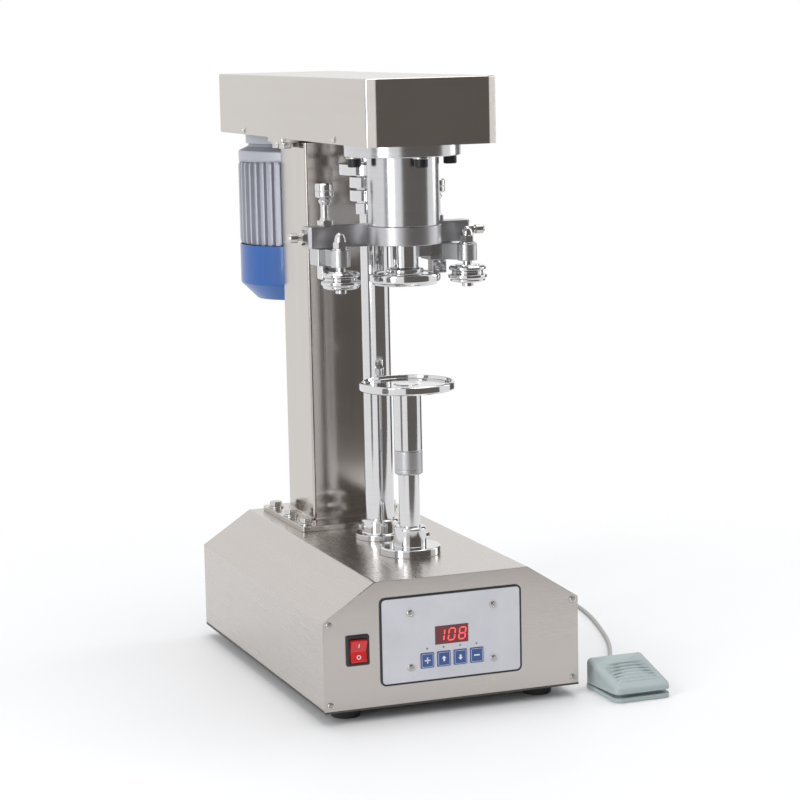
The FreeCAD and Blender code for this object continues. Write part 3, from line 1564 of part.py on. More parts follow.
# ---- foot switch cord: a lead from the gland, a coil of spare length, and the run to the pedal ----
cord_radius = S.cord_diameter.value / 2
coil_height = S.cord_diameter * S.coil_turns
coil_top = (coil_height - S.cord_diameter / 2).value
lead_route = [
    (110.0, 171.0, 35.0),
    (110.0, 186.0, 33.5),
    (110.5, 205.0, 24.0),
    (110.0, 225.0, coil_top),
]
cord_route = [
    (135.0, 250.0, cord_radius),
    (166.0, 249.5, cord_radius),
    (212.0, 245.0, cord_radius),
    (262.0, 227.0, cord_radius),
    (299.0, 188.0, cord_radius),
    (314.0, 134.0, cord_radius),
    (309.5, 80.0, cord_radius),
    (300.0, 27.0, cord_radius),
    (284.5, -30.0, cord_radius),
    (269.0, -82.0, cord_radius),
    (246.5, -134.0, cord_radius),
    (223.0, -176.0, cord_radius),
    (204.0, -208.0, cord_radius),
    (196.8, -234.0, 4.9),
]


def cord_path(route):
    """Straight runs joined by tangent arcs, each as large as its two runs allow."""
    points = [FreeCAD.Vector(*p) for p in route]
    edges = []
    radii = []
    start = points[0]
    for before, corner, after in zip(points, points[1:], points[2:]):
        back = (before - corner).normalize()
        ahead = (after - corner).normalize()
        turn = math.pi - back.getAngle(ahead)
        reach = 0.45 * min((before - corner).Length, (after - corner).Length)
        radius = reach / math.tan(turn / 2)
        radii.append(radius)
        tangent_in = corner + back * reach
        tangent_out = corner + ahead * reach
        inward = (back + ahead).normalize()
        centre = corner + inward * math.hypot(radius, reach)
        middle = centre - inward * radius
        edges.append(Part.LineSegment(start, tangent_in).toShape())
        edges.append(Part.Arc(tangent_in, middle, tangent_out).toShape())
        start = tangent_out
    edges.append(Part.LineSegment(start, points[-1]).toShape())
    print("cord radii:", ", ".join("%.0f" % r for r in radii))
    return Part.Wire(edges)


def make_cord(route):
    path = cord_path(route)
    first = FreeCAD.Vector(*route[0])
    heading = FreeCAD.Vector(*route[1]) - first
    section = Part.Wire([Part.makeCircle(cord_radius, first, heading)])
    tube = path.makePipeShell([section], True, False)
    expected = math.pi * cord_radius ** 2 * path.Length
    print("cord length %.0f, volume ratio %.4f" % (path.Length, tube.Volume / expected))
    return tube


part_feature("foot_cord_lead", make_cord(lead_route))
part_feature("foot_cord", make_cord(cord_route))
turned(
    "foot_cord_coil",
    ring_profile(
        S.coil_radius - S.cord_diameter / 2, S.coil_radius + S.cord_diameter / 2, 0, coil_height
    ),
    at=(S.coil_x, S.coil_y, 0),
)

# ---- check and export ----
doc.recompute()
faults = []
for item in doc.Objects:
    if "Invalid" in item.State or "Error" in item.State:
        faults.append("%s is %s" % (item.Name, item.State))
for node in nodes:
    if node.Shape.isNull() or not node.Shape.isValid():
        faults.append("%s has no valid shape" % node.Label)
if faults:
    raise ValueError("; ".join(faults))
os.makedirs("parts", exist_ok=True)
for node in nodes:
    node.Shape.exportStep("parts/%s.step" % node.Label)
print("%d nodes written" % len(nodes))
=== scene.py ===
import math

import bmesh
import bpy
import numpy as np
from mathutils import Matrix, Vector


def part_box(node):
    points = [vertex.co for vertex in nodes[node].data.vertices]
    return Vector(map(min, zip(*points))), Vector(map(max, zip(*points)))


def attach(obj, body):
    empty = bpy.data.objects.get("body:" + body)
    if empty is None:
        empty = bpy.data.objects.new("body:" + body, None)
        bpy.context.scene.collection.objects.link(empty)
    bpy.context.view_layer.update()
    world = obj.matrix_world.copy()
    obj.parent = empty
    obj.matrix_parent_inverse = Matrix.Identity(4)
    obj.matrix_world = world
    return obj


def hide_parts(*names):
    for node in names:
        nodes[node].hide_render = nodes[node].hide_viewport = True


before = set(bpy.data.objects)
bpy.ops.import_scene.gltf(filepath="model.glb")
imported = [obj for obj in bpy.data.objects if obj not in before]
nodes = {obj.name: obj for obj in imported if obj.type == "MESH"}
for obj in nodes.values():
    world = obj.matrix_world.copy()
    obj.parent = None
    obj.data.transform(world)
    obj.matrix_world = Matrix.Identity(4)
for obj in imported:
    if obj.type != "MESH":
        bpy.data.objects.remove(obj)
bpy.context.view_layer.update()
MM = 0.001


# ---------------------------------------------------------------- shader arithmetic


class Channel:
    """One output socket of a finish. Arithmetic on it adds Math nodes."""

    def __init__(self, finish, socket):
        self.finish = finish
        self.socket = socket

    def math(self, operation, *values):
        return self.finish.add("ShaderNodeMath", {"operation": operation}, dict(enumerate(values)))

    def __add__(self, other):
        return self.math("ADD", self, other)

    def __radd__(self, other):
        return self.math("ADD", other, self)

    def __sub__(self, other):
        return self.math("SUBTRACT", self, other)

    def __rsub__(self, other):
        return self.math("SUBTRACT", other, self)

    def __mul__(self, other):
        return self.math("MULTIPLY", self, other)

    def __rmul__(self, other):
        return self.math("MULTIPLY", other, self)

    def __gt__(self, other):
        return self.math("GREATER_THAN", self, other)

    def power(self, exponent):
        return self.math("POWER", self, exponent)


class Finish:
    """A material with one Principled shader, built up from expressions on Channels."""

    def __init__(self, name):
        self.material = bpy.data.materials.new(name)
        self.material.use_nodes = True
        self.tree = self.material.node_tree
        self.shader = self.tree.nodes["Principled BSDF"]

    def add(self, kind, settings=None, inputs=None, out=0):
        """Adds one node: its settings first, then its sockets' values or links."""
        node = self.tree.nodes.new(kind)
        for key, value in (settings or {}).items():
            if key == "stops":
                ramp = node.color_ramp.elements
                while len(ramp) < len(value):
                    ramp.new(0.5)
                for element, (position, colour) in zip(ramp, value):
                    element.position = position
                    element.color = (*colour, 1)
            else:
                setattr(node, key, value)
        for key, value in (inputs or {}).items():
            if isinstance(value, Channel):
                self.tree.links.new(value.socket, node.inputs[key])
            else:
                node.inputs[key].default_value = value
        return Channel(self, node.outputs[out])

    def place(self):
        return self.add("ShaderNodeTexCoord", out="Object")

    def scaled(self, vector, factors, centre=(0, 0, 0)):
        """The vector less a centre, times a factor on each axis."""
        near = self.add("ShaderNodeVectorMath", {"operation": "SUBTRACT"}, {0: vector, 1: centre})
        return self.add("ShaderNodeVectorMath", {"operation": "MULTIPLY"}, {0: near, 1: factors})

    def noise(self, vector, scale, detail=2.0, roughness=0.5):
        sockets = {"Vector": vector, "Scale": scale, "Detail": detail, "Roughness": roughness}
        return self.add("ShaderNodeTexNoise", None, sockets)

    def mix(self, factor, low, high):
        """A colour between two colours."""
        sockets = {0: factor, 6: self.colour(low), 7: self.colour(high)}
        return self.add("ShaderNodeMix", {"data_type": "RGBA"}, sockets, out=2)

    @staticmethod
    def colour(value):
        return value if isinstance(value, Channel) else (*value, 1)

    def bump(self, height, strength, distance):
        return self.add("ShaderNodeBump", None, {"Height": height, "Strength": strength, "Distance": distance})

    def shade(self, **sockets):
        """Sets the Principled sockets; a name's underscores stand for spaces."""
        for key, value in sockets.items():
            socket = self.shader.inputs[key.replace("_", " ")]
            if isinstance(value, Channel):
                self.tree.links.new(value.socket, socket)
            elif isinstance(value, tuple):
                socket.default_value = (*value, 1)
            else:
                socket.default_value = value
        return self.material


def tone(colour, factor):
    return tuple(c * factor for c in colour)


# ---------------------------------------------------------------- finishes


def brushed_sheet(name, along, tint, rough):
    """Stainless sheet ground along one axis: long fine streaks, broad cloudy bands and faint wipe marks."""
    finish = Finish(name)
    where = finish.place()
    streak_scale = tuple(9.0 if axis == along else 1500.0 for axis in "XYZ")
    band_scale = tuple(2.0 if axis == along else 60.0 for axis in "XYZ")
    streaks = finish.noise(finish.scaled(where, streak_scale), 1.0, 3.0, 0.65)
    bands = finish.noise(finish.scaled(where, band_scale), 1.0, 2.0)
    clouds = finish.noise(where, 7.0, 3.0, 0.6)
    wear = streaks * 0.5 + bands * 0.25 + clouds * 0.25
    shade = finish.mix(wear, tone(tint, 0.86), tone(tint, 1.1))
    return finish.shade(
        Base_Color=shade,
        Metallic=1.0,
        Roughness=rough + (streaks - 0.5) * 0.10 + (clouds - 0.5) * 0.10,
        Normal=finish.bump(streaks, 0.06, 0.0002),
    )


def turned_metal(name, centre, tint, rough, pitch=2600.0):
    """Lathe-turned metal: fine rings that follow the radius and the height about its own axis."""
    finish = Finish(name)
    where = finish.place()
    flat = finish.scaled(where, (1, 1, 0), centre)
    radius = finish.add("ShaderNodeVectorMath", {"operation": "LENGTH"}, {0: flat}, out="Value")
    height = finish.add("ShaderNodeSeparateXYZ", None, {0: where}, out="Z")
    rings = finish.add("ShaderNodeCombineXYZ", None, {0: radius * pitch, 1: height * pitch, 2: 0.0})
    grooves = finish.noise(rings, 1.0, 2.0, 0.6)
    smears = finish.noise(finish.scaled(where, (60, 60, 14)), 1.0, 2.0)
    shade = finish.mix(grooves * 0.6 + smears * 0.4, tone(tint, 0.84), tone(tint, 1.1))
    return finish.shade(
        Base_Color=shade,
        Metallic=1.0,
        Roughness=rough + (grooves - 0.5) * 0.07 + (smears - 0.5) * 0.06,
        Normal=finish.bump(grooves, 0.05, 0.0001),
    )


def milled_aluminium(name):
    """Satin aluminium with crossing mill marks and small nicks."""
    finish = Finish(name)
    where = finish.place()
    marks = finish.noise(finish.scaled(where, (1400, 90, 900)), 1.0, 2.0, 0.6)
    nicks = finish.noise(where, 260.0, 4.0, 0.7)
    shade = finish.mix(marks * 0.6 + nicks * 0.4, (0.42, 0.43, 0.44), (0.68, 0.69, 0.7))
    return finish.shade(
        Base_Color=shade,
        Metallic=1.0,
        Roughness=0.34 + (marks - 0.5) * 0.14,
        Normal=finish.bump(marks + nicks, 0.12, 0.0002),
    )


def painted(name, colour, rough, grain, depth, metallic=0.0, coat=0.0):
    """Sprayed paint: orange-peel grain and a slow change of tone from coat to coat."""
    finish = Finish(name)
    where = finish.place()
    peel = finish.noise(where, grain, 2.0)
    drift = finish.noise(where, 14.0, 3.0)
    shade = finish.mix(drift * 0.7 + peel * 0.3, tone(colour, 0.8), tone(colour, 1.16))
    return finish.shade(
        Base_Color=shade,
        Metallic=metallic,
        Roughness=rough + (drift - 0.5) * 0.12 + (peel - 0.5) * 0.06,
        Coat_Weight=coat,
        Normal=finish.bump(peel, depth, 0.0004),
    )


def moulded(name, colour, rough, grain=1600.0, depth=0.15):
    """Moulded plastic or rubber: a fine eroded grain, duller in its hollows."""
    finish = Finish(name)
    where = finish.place()
    grains = finish.noise(where, grain, 3.0, 0.7)
    dust = finish.noise(where, 30.0, 3.0, 0.6)
    shade = finish.mix(grains * 0.5 + dust * 0.5, tone(colour, 0.78), tone(colour, 1.22))
    return finish.shade(
        Base_Color=shade,
        Roughness=rough + (grains - 0.5) * 0.14,
        Normal=finish.bump(grains, depth, 0.0003),
    )


def lit_plastic(name, colour, glow, strength):
    """Translucent coloured plastic with a lamp behind it, brighter towards its middle grain."""
    finish = Finish(name)
    where = finish.place()
    haze = finish.noise(where, 220.0, 2.0)
    return finish.shade(
        Base_Color=finish.mix(haze, tone(colour, 0.8), tone(colour, 1.2)),
        Roughness=0.16 + haze * 0.08,
        Emission_Color=finish.mix(haze, tone(glow, 0.75), glow),
        Emission_Strength=strength,
        Coat_Weight=0.4,
    )


STAINLESS = (0.56, 0.525, 0.495)
POLISHED = (0.70, 0.70, 0.71)
SPINDLE_AXIS = (0.0, -0.1524, 0.0)
POST_AXIS = (0.0, -0.059, 0.0)

cover_steel = brushed_sheet("cover_steel", "Y", STAINLESS, 0.27)
plate_steel = brushed_sheet("plate_steel", "X", STAINLESS, 0.25)
column_steel = brushed_sheet("column_steel", "Z", STAINLESS, 0.13)
spindle_chrome = turned_metal("spindle_chrome", SPINDLE_AXIS, POLISHED, 0.10)
post_chrome = turned_metal("post_chrome", POST_AXIS, POLISHED, 0.08)
left_roller_chrome = turned_metal("left_roller_chrome", (-0.072, -0.1524, 0), POLISHED, 0.14)
right_roller_chrome = turned_metal("right_roller_chrome", (0.072, -0.1524, 0), POLISHED, 0.14)
barrel_steel = turned_metal("barrel_steel", SPINDLE_AXIS, (0.62, 0.62, 0.64), 0.2, 1800.0)
ring_aluminium = turned_metal("ring_aluminium", SPINDLE_AXIS, (0.5, 0.5, 0.52), 0.34, 1400.0)
beam_aluminium = milled_aluminium("beam_aluminium")
screw_zinc = painted("screw_zinc", (0.6, 0.59, 0.57), 0.24, 900.0, 0.08, metallic=1.0)
black_oxide = painted("black_oxide", (0.02, 0.02, 0.022), 0.42, 900.0, 0.1, metallic=0.4)
dark_plate = painted("dark_plate", (0.10, 0.095, 0.09), 0.45, 500.0, 0.1, metallic=0.7)
motor_enamel = painted("motor_enamel", (0.42, 0.43, 0.48), 0.4, 600.0, 0.12, metallic=0.35)
cowl_enamel = painted("cowl_enamel", (0.006, 0.085, 0.33), 0.34, 420.0, 0.08, coat=0.35)
pedal_enamel = painted("pedal_enamel", (0.36, 0.42, 0.42), 0.46, 700.0, 0.3, coat=0.1)
foot_rubber = moulded("foot_rubber", (0.022, 0.022, 0.024), 0.72, 900.0)
black_plastic = moulded("black_plastic", (0.02, 0.02, 0.023), 0.42)
belt_rubber = moulded("belt_rubber", (0.03, 0.03, 0.03), 0.75)
fascia_film = moulded("fascia_film", (0.56, 0.565, 0.6), 0.45, 2600.0, 0.05)
key_film = moulded("key_film", (0.035, 0.085, 0.26), 0.34, 1900.0, 0.06)
mark_white = moulded("mark_white", (0.75, 0.76, 0.78), 0.5)
mark_grey = moulded("mark_grey", (0.12, 0.12, 0.14), 0.5)
board_lacquer = moulded("board_lacquer", (0.015, 0.12, 0.05), 0.4)
cord_sheath = moulded("cord_sheath", (0.42, 0.415, 0.40), 0.55, 700.0, 0.1)
window_red = lit_plastic("window_red", (0.10, 0.008, 0.012), (0.10, 0.004, 0.006), 0.4)
digit_glow = lit_plastic("digit_glow", (0.6, 0.03, 0.03), (1.0, 0.10, 0.09), 1.1)
rocker_red = lit_plastic("rocker_red", (0.42, 0.012, 0.012), (0.55, 0.01, 0.01), 0.28)


# ---------------------------------------------------------------- surfaces as arrays


class Shell:
    """A surface held as arrays: points (n, 3) in metres and a list of faces."""

    def __init__(self, points, faces):
        self.points = np.asarray(points, float).reshape(-1, 3)
        self.faces = [list(map(int, f)) for f in faces]

    def __add__(self, other):
        shift = len(self.points)
        moved = [[i + shift for i in f] for f in other.faces]
        return Shell(np.vstack([self.points, other.points]), self.faces + moved)

    def placed(self, matrix):
        """The points turned and shifted by a 4 x 4 matrix."""
        m = np.array(matrix, float)
        return Shell(self.points @ m[:3, :3].T + m[:3, 3], self.faces)

    def at(self, x, y, z):
        return Shell(self.points + np.array([x, y, z]), self.faces)


def shift(x, y, z):
    return Matrix.Translation((x, y, z))


TURN = {
    "UP": Matrix.Identity(4),
    "DOWN": Matrix.Rotation(math.pi, 4, "X"),
    "FRONT": Matrix.Rotation(math.pi / 2, 4, "X"),
    "REAR": Matrix.Rotation(-math.pi / 2, 4, "X"),
    "RIGHT": Matrix.Rotation(math.pi / 2, 4, "Y"),
    "LEFT": Matrix.Rotation(-math.pi / 2, 4, "Y"),
}


def facing(side, x, y, z):
    """Turns a shell whose own axis is +Z to a side of the machine, then moves it there."""
    return shift(x, y, z) @ TURN[side]


def softened(line, radius, closed=True, steps=4):
    """A polyline with each corner turned into a parabola that touches both runs at the same distance
    from the corner, B(s) = (1-s)^2 A + 2 s (1-s) C + s^2 D, and a holding point just outside each end,
    so that flats stay flat in the shading."""
    points = np.asarray(line, float)
    before = np.roll(points, 1, axis=0)
    after = np.roll(points, -1, axis=0)
    back, ahead = before - points, after - points
    back_length = np.linalg.norm(back, axis=1, keepdims=True)
    ahead_length = np.linalg.norm(ahead, axis=1, keepdims=True)
    reach = np.minimum(radius, 0.42 * np.minimum(back_length, ahead_length))
    hold = reach * 1.12
    back, ahead = back / back_length, ahead / ahead_length
    s = np.linspace(0, 1, steps)[None, :, None]
    a, c, d = (points + back * reach)[:, None], points[:, None], (points + ahead * reach)[:, None]
    arc = (1 - s) ** 2 * a + 2 * s * (1 - s) * c + s ** 2 * d
    parts = [(points + back * hold)[:, None], arc, (points + ahead * hold)[:, None]]
    out = np.concatenate(parts, axis=1)
    if closed:
        return out.reshape(-1, points.shape[1])
    inner = out[1:-1].reshape(-1, points.shape[1])
    return np.vstack([points[:1], inner, points[-1:]])


def grid_faces(rows, columns, wrap_rows=False, wrap_columns=False):
    """Quads of a grid of points, row after row, closed round either way where asked."""
    r = np.arange(rows if wrap_rows else rows - 1)
    c = np.arange(columns if wrap_columns else columns - 1)
    i, j = [k.ravel() for k in np.meshgrid(r, c, indexing="ij")]
    i2, j2 = (i + 1) % rows, (j + 1) % columns
    return np.stack([i * columns + j, i * columns + j2, i2 * columns + j2, i2 * columns + j], axis=1)


def turned(profile, soft=0.5, steps=96, closed=True):
    """Surface of revolution about Z: (r cos t, r sin t, z) for a profile of (r, z) in millimetres.
    A closed profile is a ring's section; an open one starts and ends on the axis."""
    rz = softened(profile, soft, closed) * MM
    t = np.arange(steps) * 2 * math.pi / steps
    r, z = rz[:, 0][:, None], rz[:, 1][:, None]
    points = np.stack([r * np.cos(t), r * np.sin(t), z + 0 * t], axis=-1)
    return Shell(points, grid_faces(len(rz), steps, wrap_rows=closed, wrap_columns=True))


def extruded(section, low, high, side="FRONT", soft=0.0, end=0.4):
    """A closed section carried in a straight line, P(u, w) = (x(u), y(u), w), its end edges drawn in
    by a small chamfer towards the section's middle and closed by flat caps. Millimetres."""
    line = softened(section, soft) if soft else np.asarray(section, float)
    middle = line.mean(axis=0)
    away = line - middle
    size = np.linalg.norm(away, axis=1, keepdims=True)
    drawn = line - away / np.maximum(size, 1e-9) * end
    rings = [(drawn, low), (line, low + end), (line, low + 1.2 * end), (line, high - 1.2 * end),
             (line, high - end), (drawn, high)]
    points = np.vstack([np.column_stack([ring, np.full(len(ring), w)]) for ring, w in rings]) * MM
    n = len(line)
    faces = list(grid_faces(len(rings), n, wrap_columns=True))
    faces.append(np.arange(n)[::-1])
    faces.append(np.arange(n) + (len(rings) - 1) * n)
    return Shell(points, faces).placed(TURN[side])


def blank(loops, thickness, edge=0.3):
    """A flat plate cut to its loops, the first round the others, lying on z = 0 with rounded edges.
    Millimetres. The curve's own fill closes the faces between the loops."""
    curve = bpy.data.curves.new("blank", "CURVE")
    curve.dimensions = "2D"
    curve.fill_mode = "BOTH"
    curve.extrude = (thickness / 2 - edge) * MM
    curve.bevel_depth = edge * MM
    curve.bevel_resolution = 1
    curve.offset = -edge * MM
    for loop in loops:
        spline = curve.splines.new("POLY")
        spline.points.add(len(loop) - 1)
        flat = np.column_stack([np.asarray(loop, float) * MM, np.zeros(len(loop)), np.ones(len(loop))])
        spline.points.foreach_set("co", flat.ravel())
        spline.use_cyclic_u = True
    holder = bpy.data.objects.new("blank", curve)
    bpy.context.scene.collection.objects.link(holder)
    mesh = bpy.data.meshes.new_from_object(holder.evaluated_get(bpy.context.evaluated_depsgraph_get()))
    points = np.zeros(len(mesh.vertices) * 3)
    mesh.vertices.foreach_get("co", points)
    faces = [list(p.vertices) for p in mesh.polygons]
    bpy.data.objects.remove(holder)
    bpy.data.curves.remove(curve)
    bpy.data.meshes.remove(mesh)
    return Shell(points, faces).at(0, 0, thickness / 2 * MM)


def box_loop(x, y, width, height, corner=0.0, steps=6):
    """A rectangle about a centre, its corners quarter circles where a radius is given."""
    signs = np.array([(1, 1), (-1, 1), (-1, -1), (1, -1)], float)
    if not corner:
        return np.array([x, y]) + signs * (width / 2, height / 2)
    t = np.linspace(0, math.pi / 2, steps)[None, :] + np.arange(4)[:, None] * math.pi / 2
    centres = signs * (width / 2 - corner, height / 2 - corner)
    loop = centres[:, None, :] + corner * np.stack([np.cos(t), np.sin(t)], axis=-1)
    return np.array([x, y]) + loop.reshape(-1, 2)


def ring_loop(x, y, radius, steps=40):
    t = np.arange(steps) * 2 * math.pi / steps
    return np.column_stack([x + radius * np.cos(t), y + radius * np.sin(t)])


def hexagonal(across, low, high, bore=0.0, steps=48):
    """A hexagon head or nut: r(t) = a / cos(t mod 60 deg - 30 deg), cut to a cone near its faces, so that
    each flat ends in the curved chamfer that a turned hexagon has. a is half the width over flats."""
    t = np.arange(steps) * 2 * math.pi / steps
    flat = across / 2 / np.cos((t % (math.pi / 3)) - math.pi / 6)
    cone = across / 2 * 1.02
    rows = [(cone * 0.97, low), (cone + 0.25, low + 0.15), (99.0, low + 0.75), (99.0, high - 0.9),
            (cone + 0.25, high - 0.2), (cone * 0.96, high)]
    radius = np.stack([np.minimum(flat, limit) for limit, _ in rows])
    z = np.array([height for _, height in rows])[:, None] + 0 * t
    centre_low = np.zeros((1, steps, 3)) + (0, 0, low)
    centre_high = np.zeros((1, steps, 3)) + (0, 0, high)
    body = np.stack([radius * np.cos(t), radius * np.sin(t), z], axis=-1)
    points = np.concatenate([centre_low, body, centre_high]) * MM
    return Shell(points, grid_faces(len(rows) + 2, steps, wrap_columns=True))


def cross_head(radius, height, steps=40, rings=14):
    """A pan head with a cross recess: z(r) = h sqrt(1 - (r / 1.12 R)^2), less a smooth cross-shaped dip
    where |x| or |y| is under the blade's half width."""
    t = np.arange(steps) * 2 * math.pi / steps
    r = np.concatenate([np.linspace(0, 1, rings), [1.0]])[:, None] * radius
    x, y = r * np.cos(t), r * np.sin(t)
    z = height * np.sqrt(1 - (r / (1.12 * radius)) ** 2) + 0 * t
    blade = np.minimum(np.abs(x), np.abs(y)) / (0.13 * radius)
    arm = np.maximum(np.abs(x), np.abs(y)) / (0.6 * radius)
    dip = np.clip(1.6 - blade, 0, 1) * np.clip((1.15 - arm) * 4, 0, 1)
    z = z - dip * height * 0.55
    z[-1] = 0.0
    points = np.stack([x, y, z], axis=-1) * MM
    return Shell(points, grid_faces(len(r), steps, wrap_columns=True))


def socket_screw(radius, height, steps=48):
    """A knurled cap head: a turned drum whose side ripples, r(t) = R + 0.12 cos 24 t, with a hexagon
    socket sunk in its face."""
    t = np.arange(steps) * 2 * math.pi / steps
    ripple = 0.12 * np.cos(24 * t)
    hexagon = radius * 0.43 / np.cos((t % (math.pi / 3)) - math.pi / 6)
    rows = [(0 * t, 0), (radius - 0.5 + 0 * t, 0), (radius + ripple, 0.4), (radius + ripple, height - 1.0),
            (radius - 0.3 + 0 * t, height - 0.5), (radius - 0.9 + 0 * t, height), (hexagon + 0.3, height),
            (hexagon, height - 0.3), (hexagon, height * 0.5), (0 * t, height * 0.42)]
    points = np.stack([np.stack([r * np.cos(t), r * np.sin(t), z + 0 * t], axis=-1) for r, z in rows]) * MM
    return Shell(points, grid_faces(len(rows), steps, wrap_columns=True))


def tube(line, radius, steps=12):
    """A round tube along points: each ring stands across the line, turned as little as possible."""
    p = np.asarray(line, float)
    tangent = np.gradient(p, axis=0)
    tangent /= np.linalg.norm(tangent, axis=1, keepdims=True)
    side = np.cross(tangent, (0.0, 0.0, 1.0))
    weak = np.linalg.norm(side, axis=1) < 1e-3
    side[weak] = (1.0, 0.0, 0.0)
    side /= np.linalg.norm(side, axis=1, keepdims=True)
    up = np.cross(side, tangent)
    t = np.arange(steps) * 2 * math.pi / steps
    ring = side[:, None] * np.cos(t)[None, :, None] + up[:, None] * np.sin(t)[None, :, None]
    return Shell(p[:, None] + radius * ring, grid_faces(len(p), steps, wrap_columns=True))


def flatten_shading(thing):
    """Weighs each corner's normal by face area, so flat sheets stay flat up to their soft edges."""
    weigh = thing.modifiers.new("weigh", "WEIGHTED_NORMAL")
    weigh.keep_sharp = True
    mesh = bpy.data.meshes.new_from_object(
        thing.evaluated_get(bpy.context.evaluated_depsgraph_get()), preserve_all_data_layers=True,
        depsgraph=bpy.context.evaluated_depsgraph_get(),
    )
    before = thing.data
    thing.modifiers.clear()
    thing.data = mesh
    bpy.data.meshes.remove(before)
    mesh.name = thing.name


def piece(name, shell, material, body, replaces=(), sharp=38):
    """Makes the shell a piece of the machine: doubles merged, faces outward, edges sharp by angle."""
    mesh = bpy.data.meshes.new(name)
    mesh.from_pydata(shell.points.tolist(), [], shell.faces)
    work = bmesh.new()
    work.from_mesh(mesh)
    bmesh.ops.remove_doubles(work, verts=work.verts, dist=2e-6)
    bmesh.ops.dissolve_degenerate(work, edges=work.edges, dist=1e-7)
    bmesh.ops.recalc_face_normals(work, faces=work.faces)
    work.to_mesh(mesh)
    work.free()
    mesh.shade_smooth()
    mesh.set_sharp_from_angle(angle=math.radians(sharp))
    mesh.materials.append(material)
    thing = bpy.data.objects.new(name, mesh)
    bpy.context.scene.collection.objects.link(thing)
    flatten_shading(thing)
    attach(thing, body)
    if replaces:
        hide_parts(*replaces)
    return thing


# ---------------------------------------------------------------- camera


def make_camera():
    """The eye stands in front, to the left and above, and looks down a little along the machine."""
    yaw, pitch, roll = (math.radians(a) for a in (20.538, 8.5597, -1.1883))
    cy, sy, cp, sp, cr, sr = (f(a) for a in (yaw, pitch, roll) for f in (math.cos, math.sin))
    base = np.array([[1, 0, 0], [0, 0, -1], [0, 1, 0]], float)
    turn = np.array([[cy, -sy, 0], [sy, cy, 0], [0, 0, 1]])
    tilt = np.array([[1, 0, 0], [0, cp, -sp], [0, sp, cp]])
    lean = np.array([[cr, -sr, 0], [sr, cr, 0], [0, 0, 1]])
    view = lean @ tilt @ (base @ turn)
    data = bpy.data.cameras.new("camera")
    data.sensor_width = 36.0
    data.lens = 2474.46 / 800 * 36.0
    data.clip_start, data.clip_end = 0.05, 60.0
    eye = bpy.data.objects.new("camera", data)
    bpy.context.scene.collection.objects.link(eye)
    pose = Matrix.Identity(4)
    for row in range(3):
        pose[row][0], pose[row][1], pose[row][2] = view[0][row], -view[1][row], -view[2][row]
    pose.translation = (-0.9267, -2.6035, 0.70726)
    eye.matrix_world = pose
    bpy.context.scene.camera = eye


make_camera()

# ---------------------------------------------------------------- foot switch cord

CORD = 0.0045
COIL = (0.135, 0.225, 0.0254)
TURNS = 4.25
COIL_TOP = 0.0216


def coil_points():
    """Clockwise turns about the coil's axis, from its west side at the top to its north side on the
    floor: angle falls evenly, and the height falls one diameter a turn."""
    count = int(TURNS * 16) + 1
    s = np.linspace(0, 1, count)
    angle = math.pi - s * TURNS * 2 * math.pi
    height = COIL_TOP + (CORD / 2 - COIL_TOP) * s
    x, y, radius = COIL
    return np.column_stack([x + radius * np.cos(angle), y + radius * np.sin(angle), height])


lead_points = np.array([(0.110, 0.171, 0.035), (0.110, 0.186, 0.0335), (0.1095, 0.205, 0.0245)])
floor_points = np.array([
    (0.166, 0.2495), (0.212, 0.245), (0.262, 0.227), (0.299, 0.188), (0.314, 0.134), (0.3095, 0.080),
    (0.300, 0.027), (0.2845, -0.030), (0.269, -0.082), (0.2465, -0.134), (0.223, -0.176), (0.204, -0.208),
])
cord_points = np.vstack([
    lead_points,
    coil_points(),
    np.column_stack([floor_points, np.full(len(floor_points), CORD / 2)]),
    [(0.1968, -0.2338, 0.0049)],
])


def cord_curve(name, points):
    """A NURBS curve of order 3 with these control points, ending on the first and the last."""
    data = bpy.data.curves.new(name, "CURVE")
    data.dimensions = "3D"
    spline = data.splines.new("NURBS")
    spline.points.add(len(points) - 1)
    spline.points.foreach_set("co", np.column_stack([points, np.ones(len(points))]).ravel())
    spline.order_u = 3
    spline.use_endpoint_u = True
    spline.resolution_u = 6
    data.bevel_depth = CORD / 2
    data.bevel_resolution = 5
    data.use_fill_caps = True
    data.materials.append(cord_sheath)
    thing = bpy.data.objects.new(name, data)
    bpy.context.scene.collection.objects.link(thing)
    return thing


foot_cord = cord_curve("foot_switch_cord", cord_points)
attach(foot_cord, "frame")
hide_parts("foot_cord_lead", "foot_cord", "foot_cord_coil")

tie_section = softened([(2.7, 0.1), (2.7, 24.3), (-2.7, 24.3), (-2.7, 0.1)], 1.2)


def coil_tie():
    """A flat tie round all the turns at the coil's south side: a closed band, 3 mm wide."""
    outer = tie_section
    inner = outer * (0.8, 0.97) + (0, 0.35)
    bands = [(outer, -1.5), (outer, 1.5), (inner, 1.5), (inner, -1.5)]
    points = np.vstack([
        np.column_stack([np.full(len(loop), w), loop[:, 0], loop[:, 1]]) for loop, w in bands
    ]) * MM
    shell = Shell(points, grid_faces(4, len(outer), wrap_rows=True, wrap_columns=True))
    return shell.at(0.135, 0.2, 0)


tie = piece("coil_tie", coil_tie(), black_plastic, "frame")

# ---------------------------------------------------------------- places taken from the frame


def low(node):
    return np.array(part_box(node)[0]) / MM


def high(node):
    return np.array(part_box(node)[1]) / MM


def mirrored(*points):
    """A half outline on +x followed by its mirror image, back to the start."""
    right = list(points)
    return right + [(-x, z) for x, z in reversed(right)]


front_y, rear_y = low("front_plate")[1], high("rear_plate")[1]
half_width = high("base_cover")[0]
cover_z = low("base_cover")[2]
base_top = high("base_cover")[2]
side_top = 109.0
half_deck = 85.5
spindle_y, post_y, column_y, motor_y = -152.4, -59.0, 83.0, 203.0
mount_z = low("mounting_plate")[2]

# ---------------------------------------------------------------- base


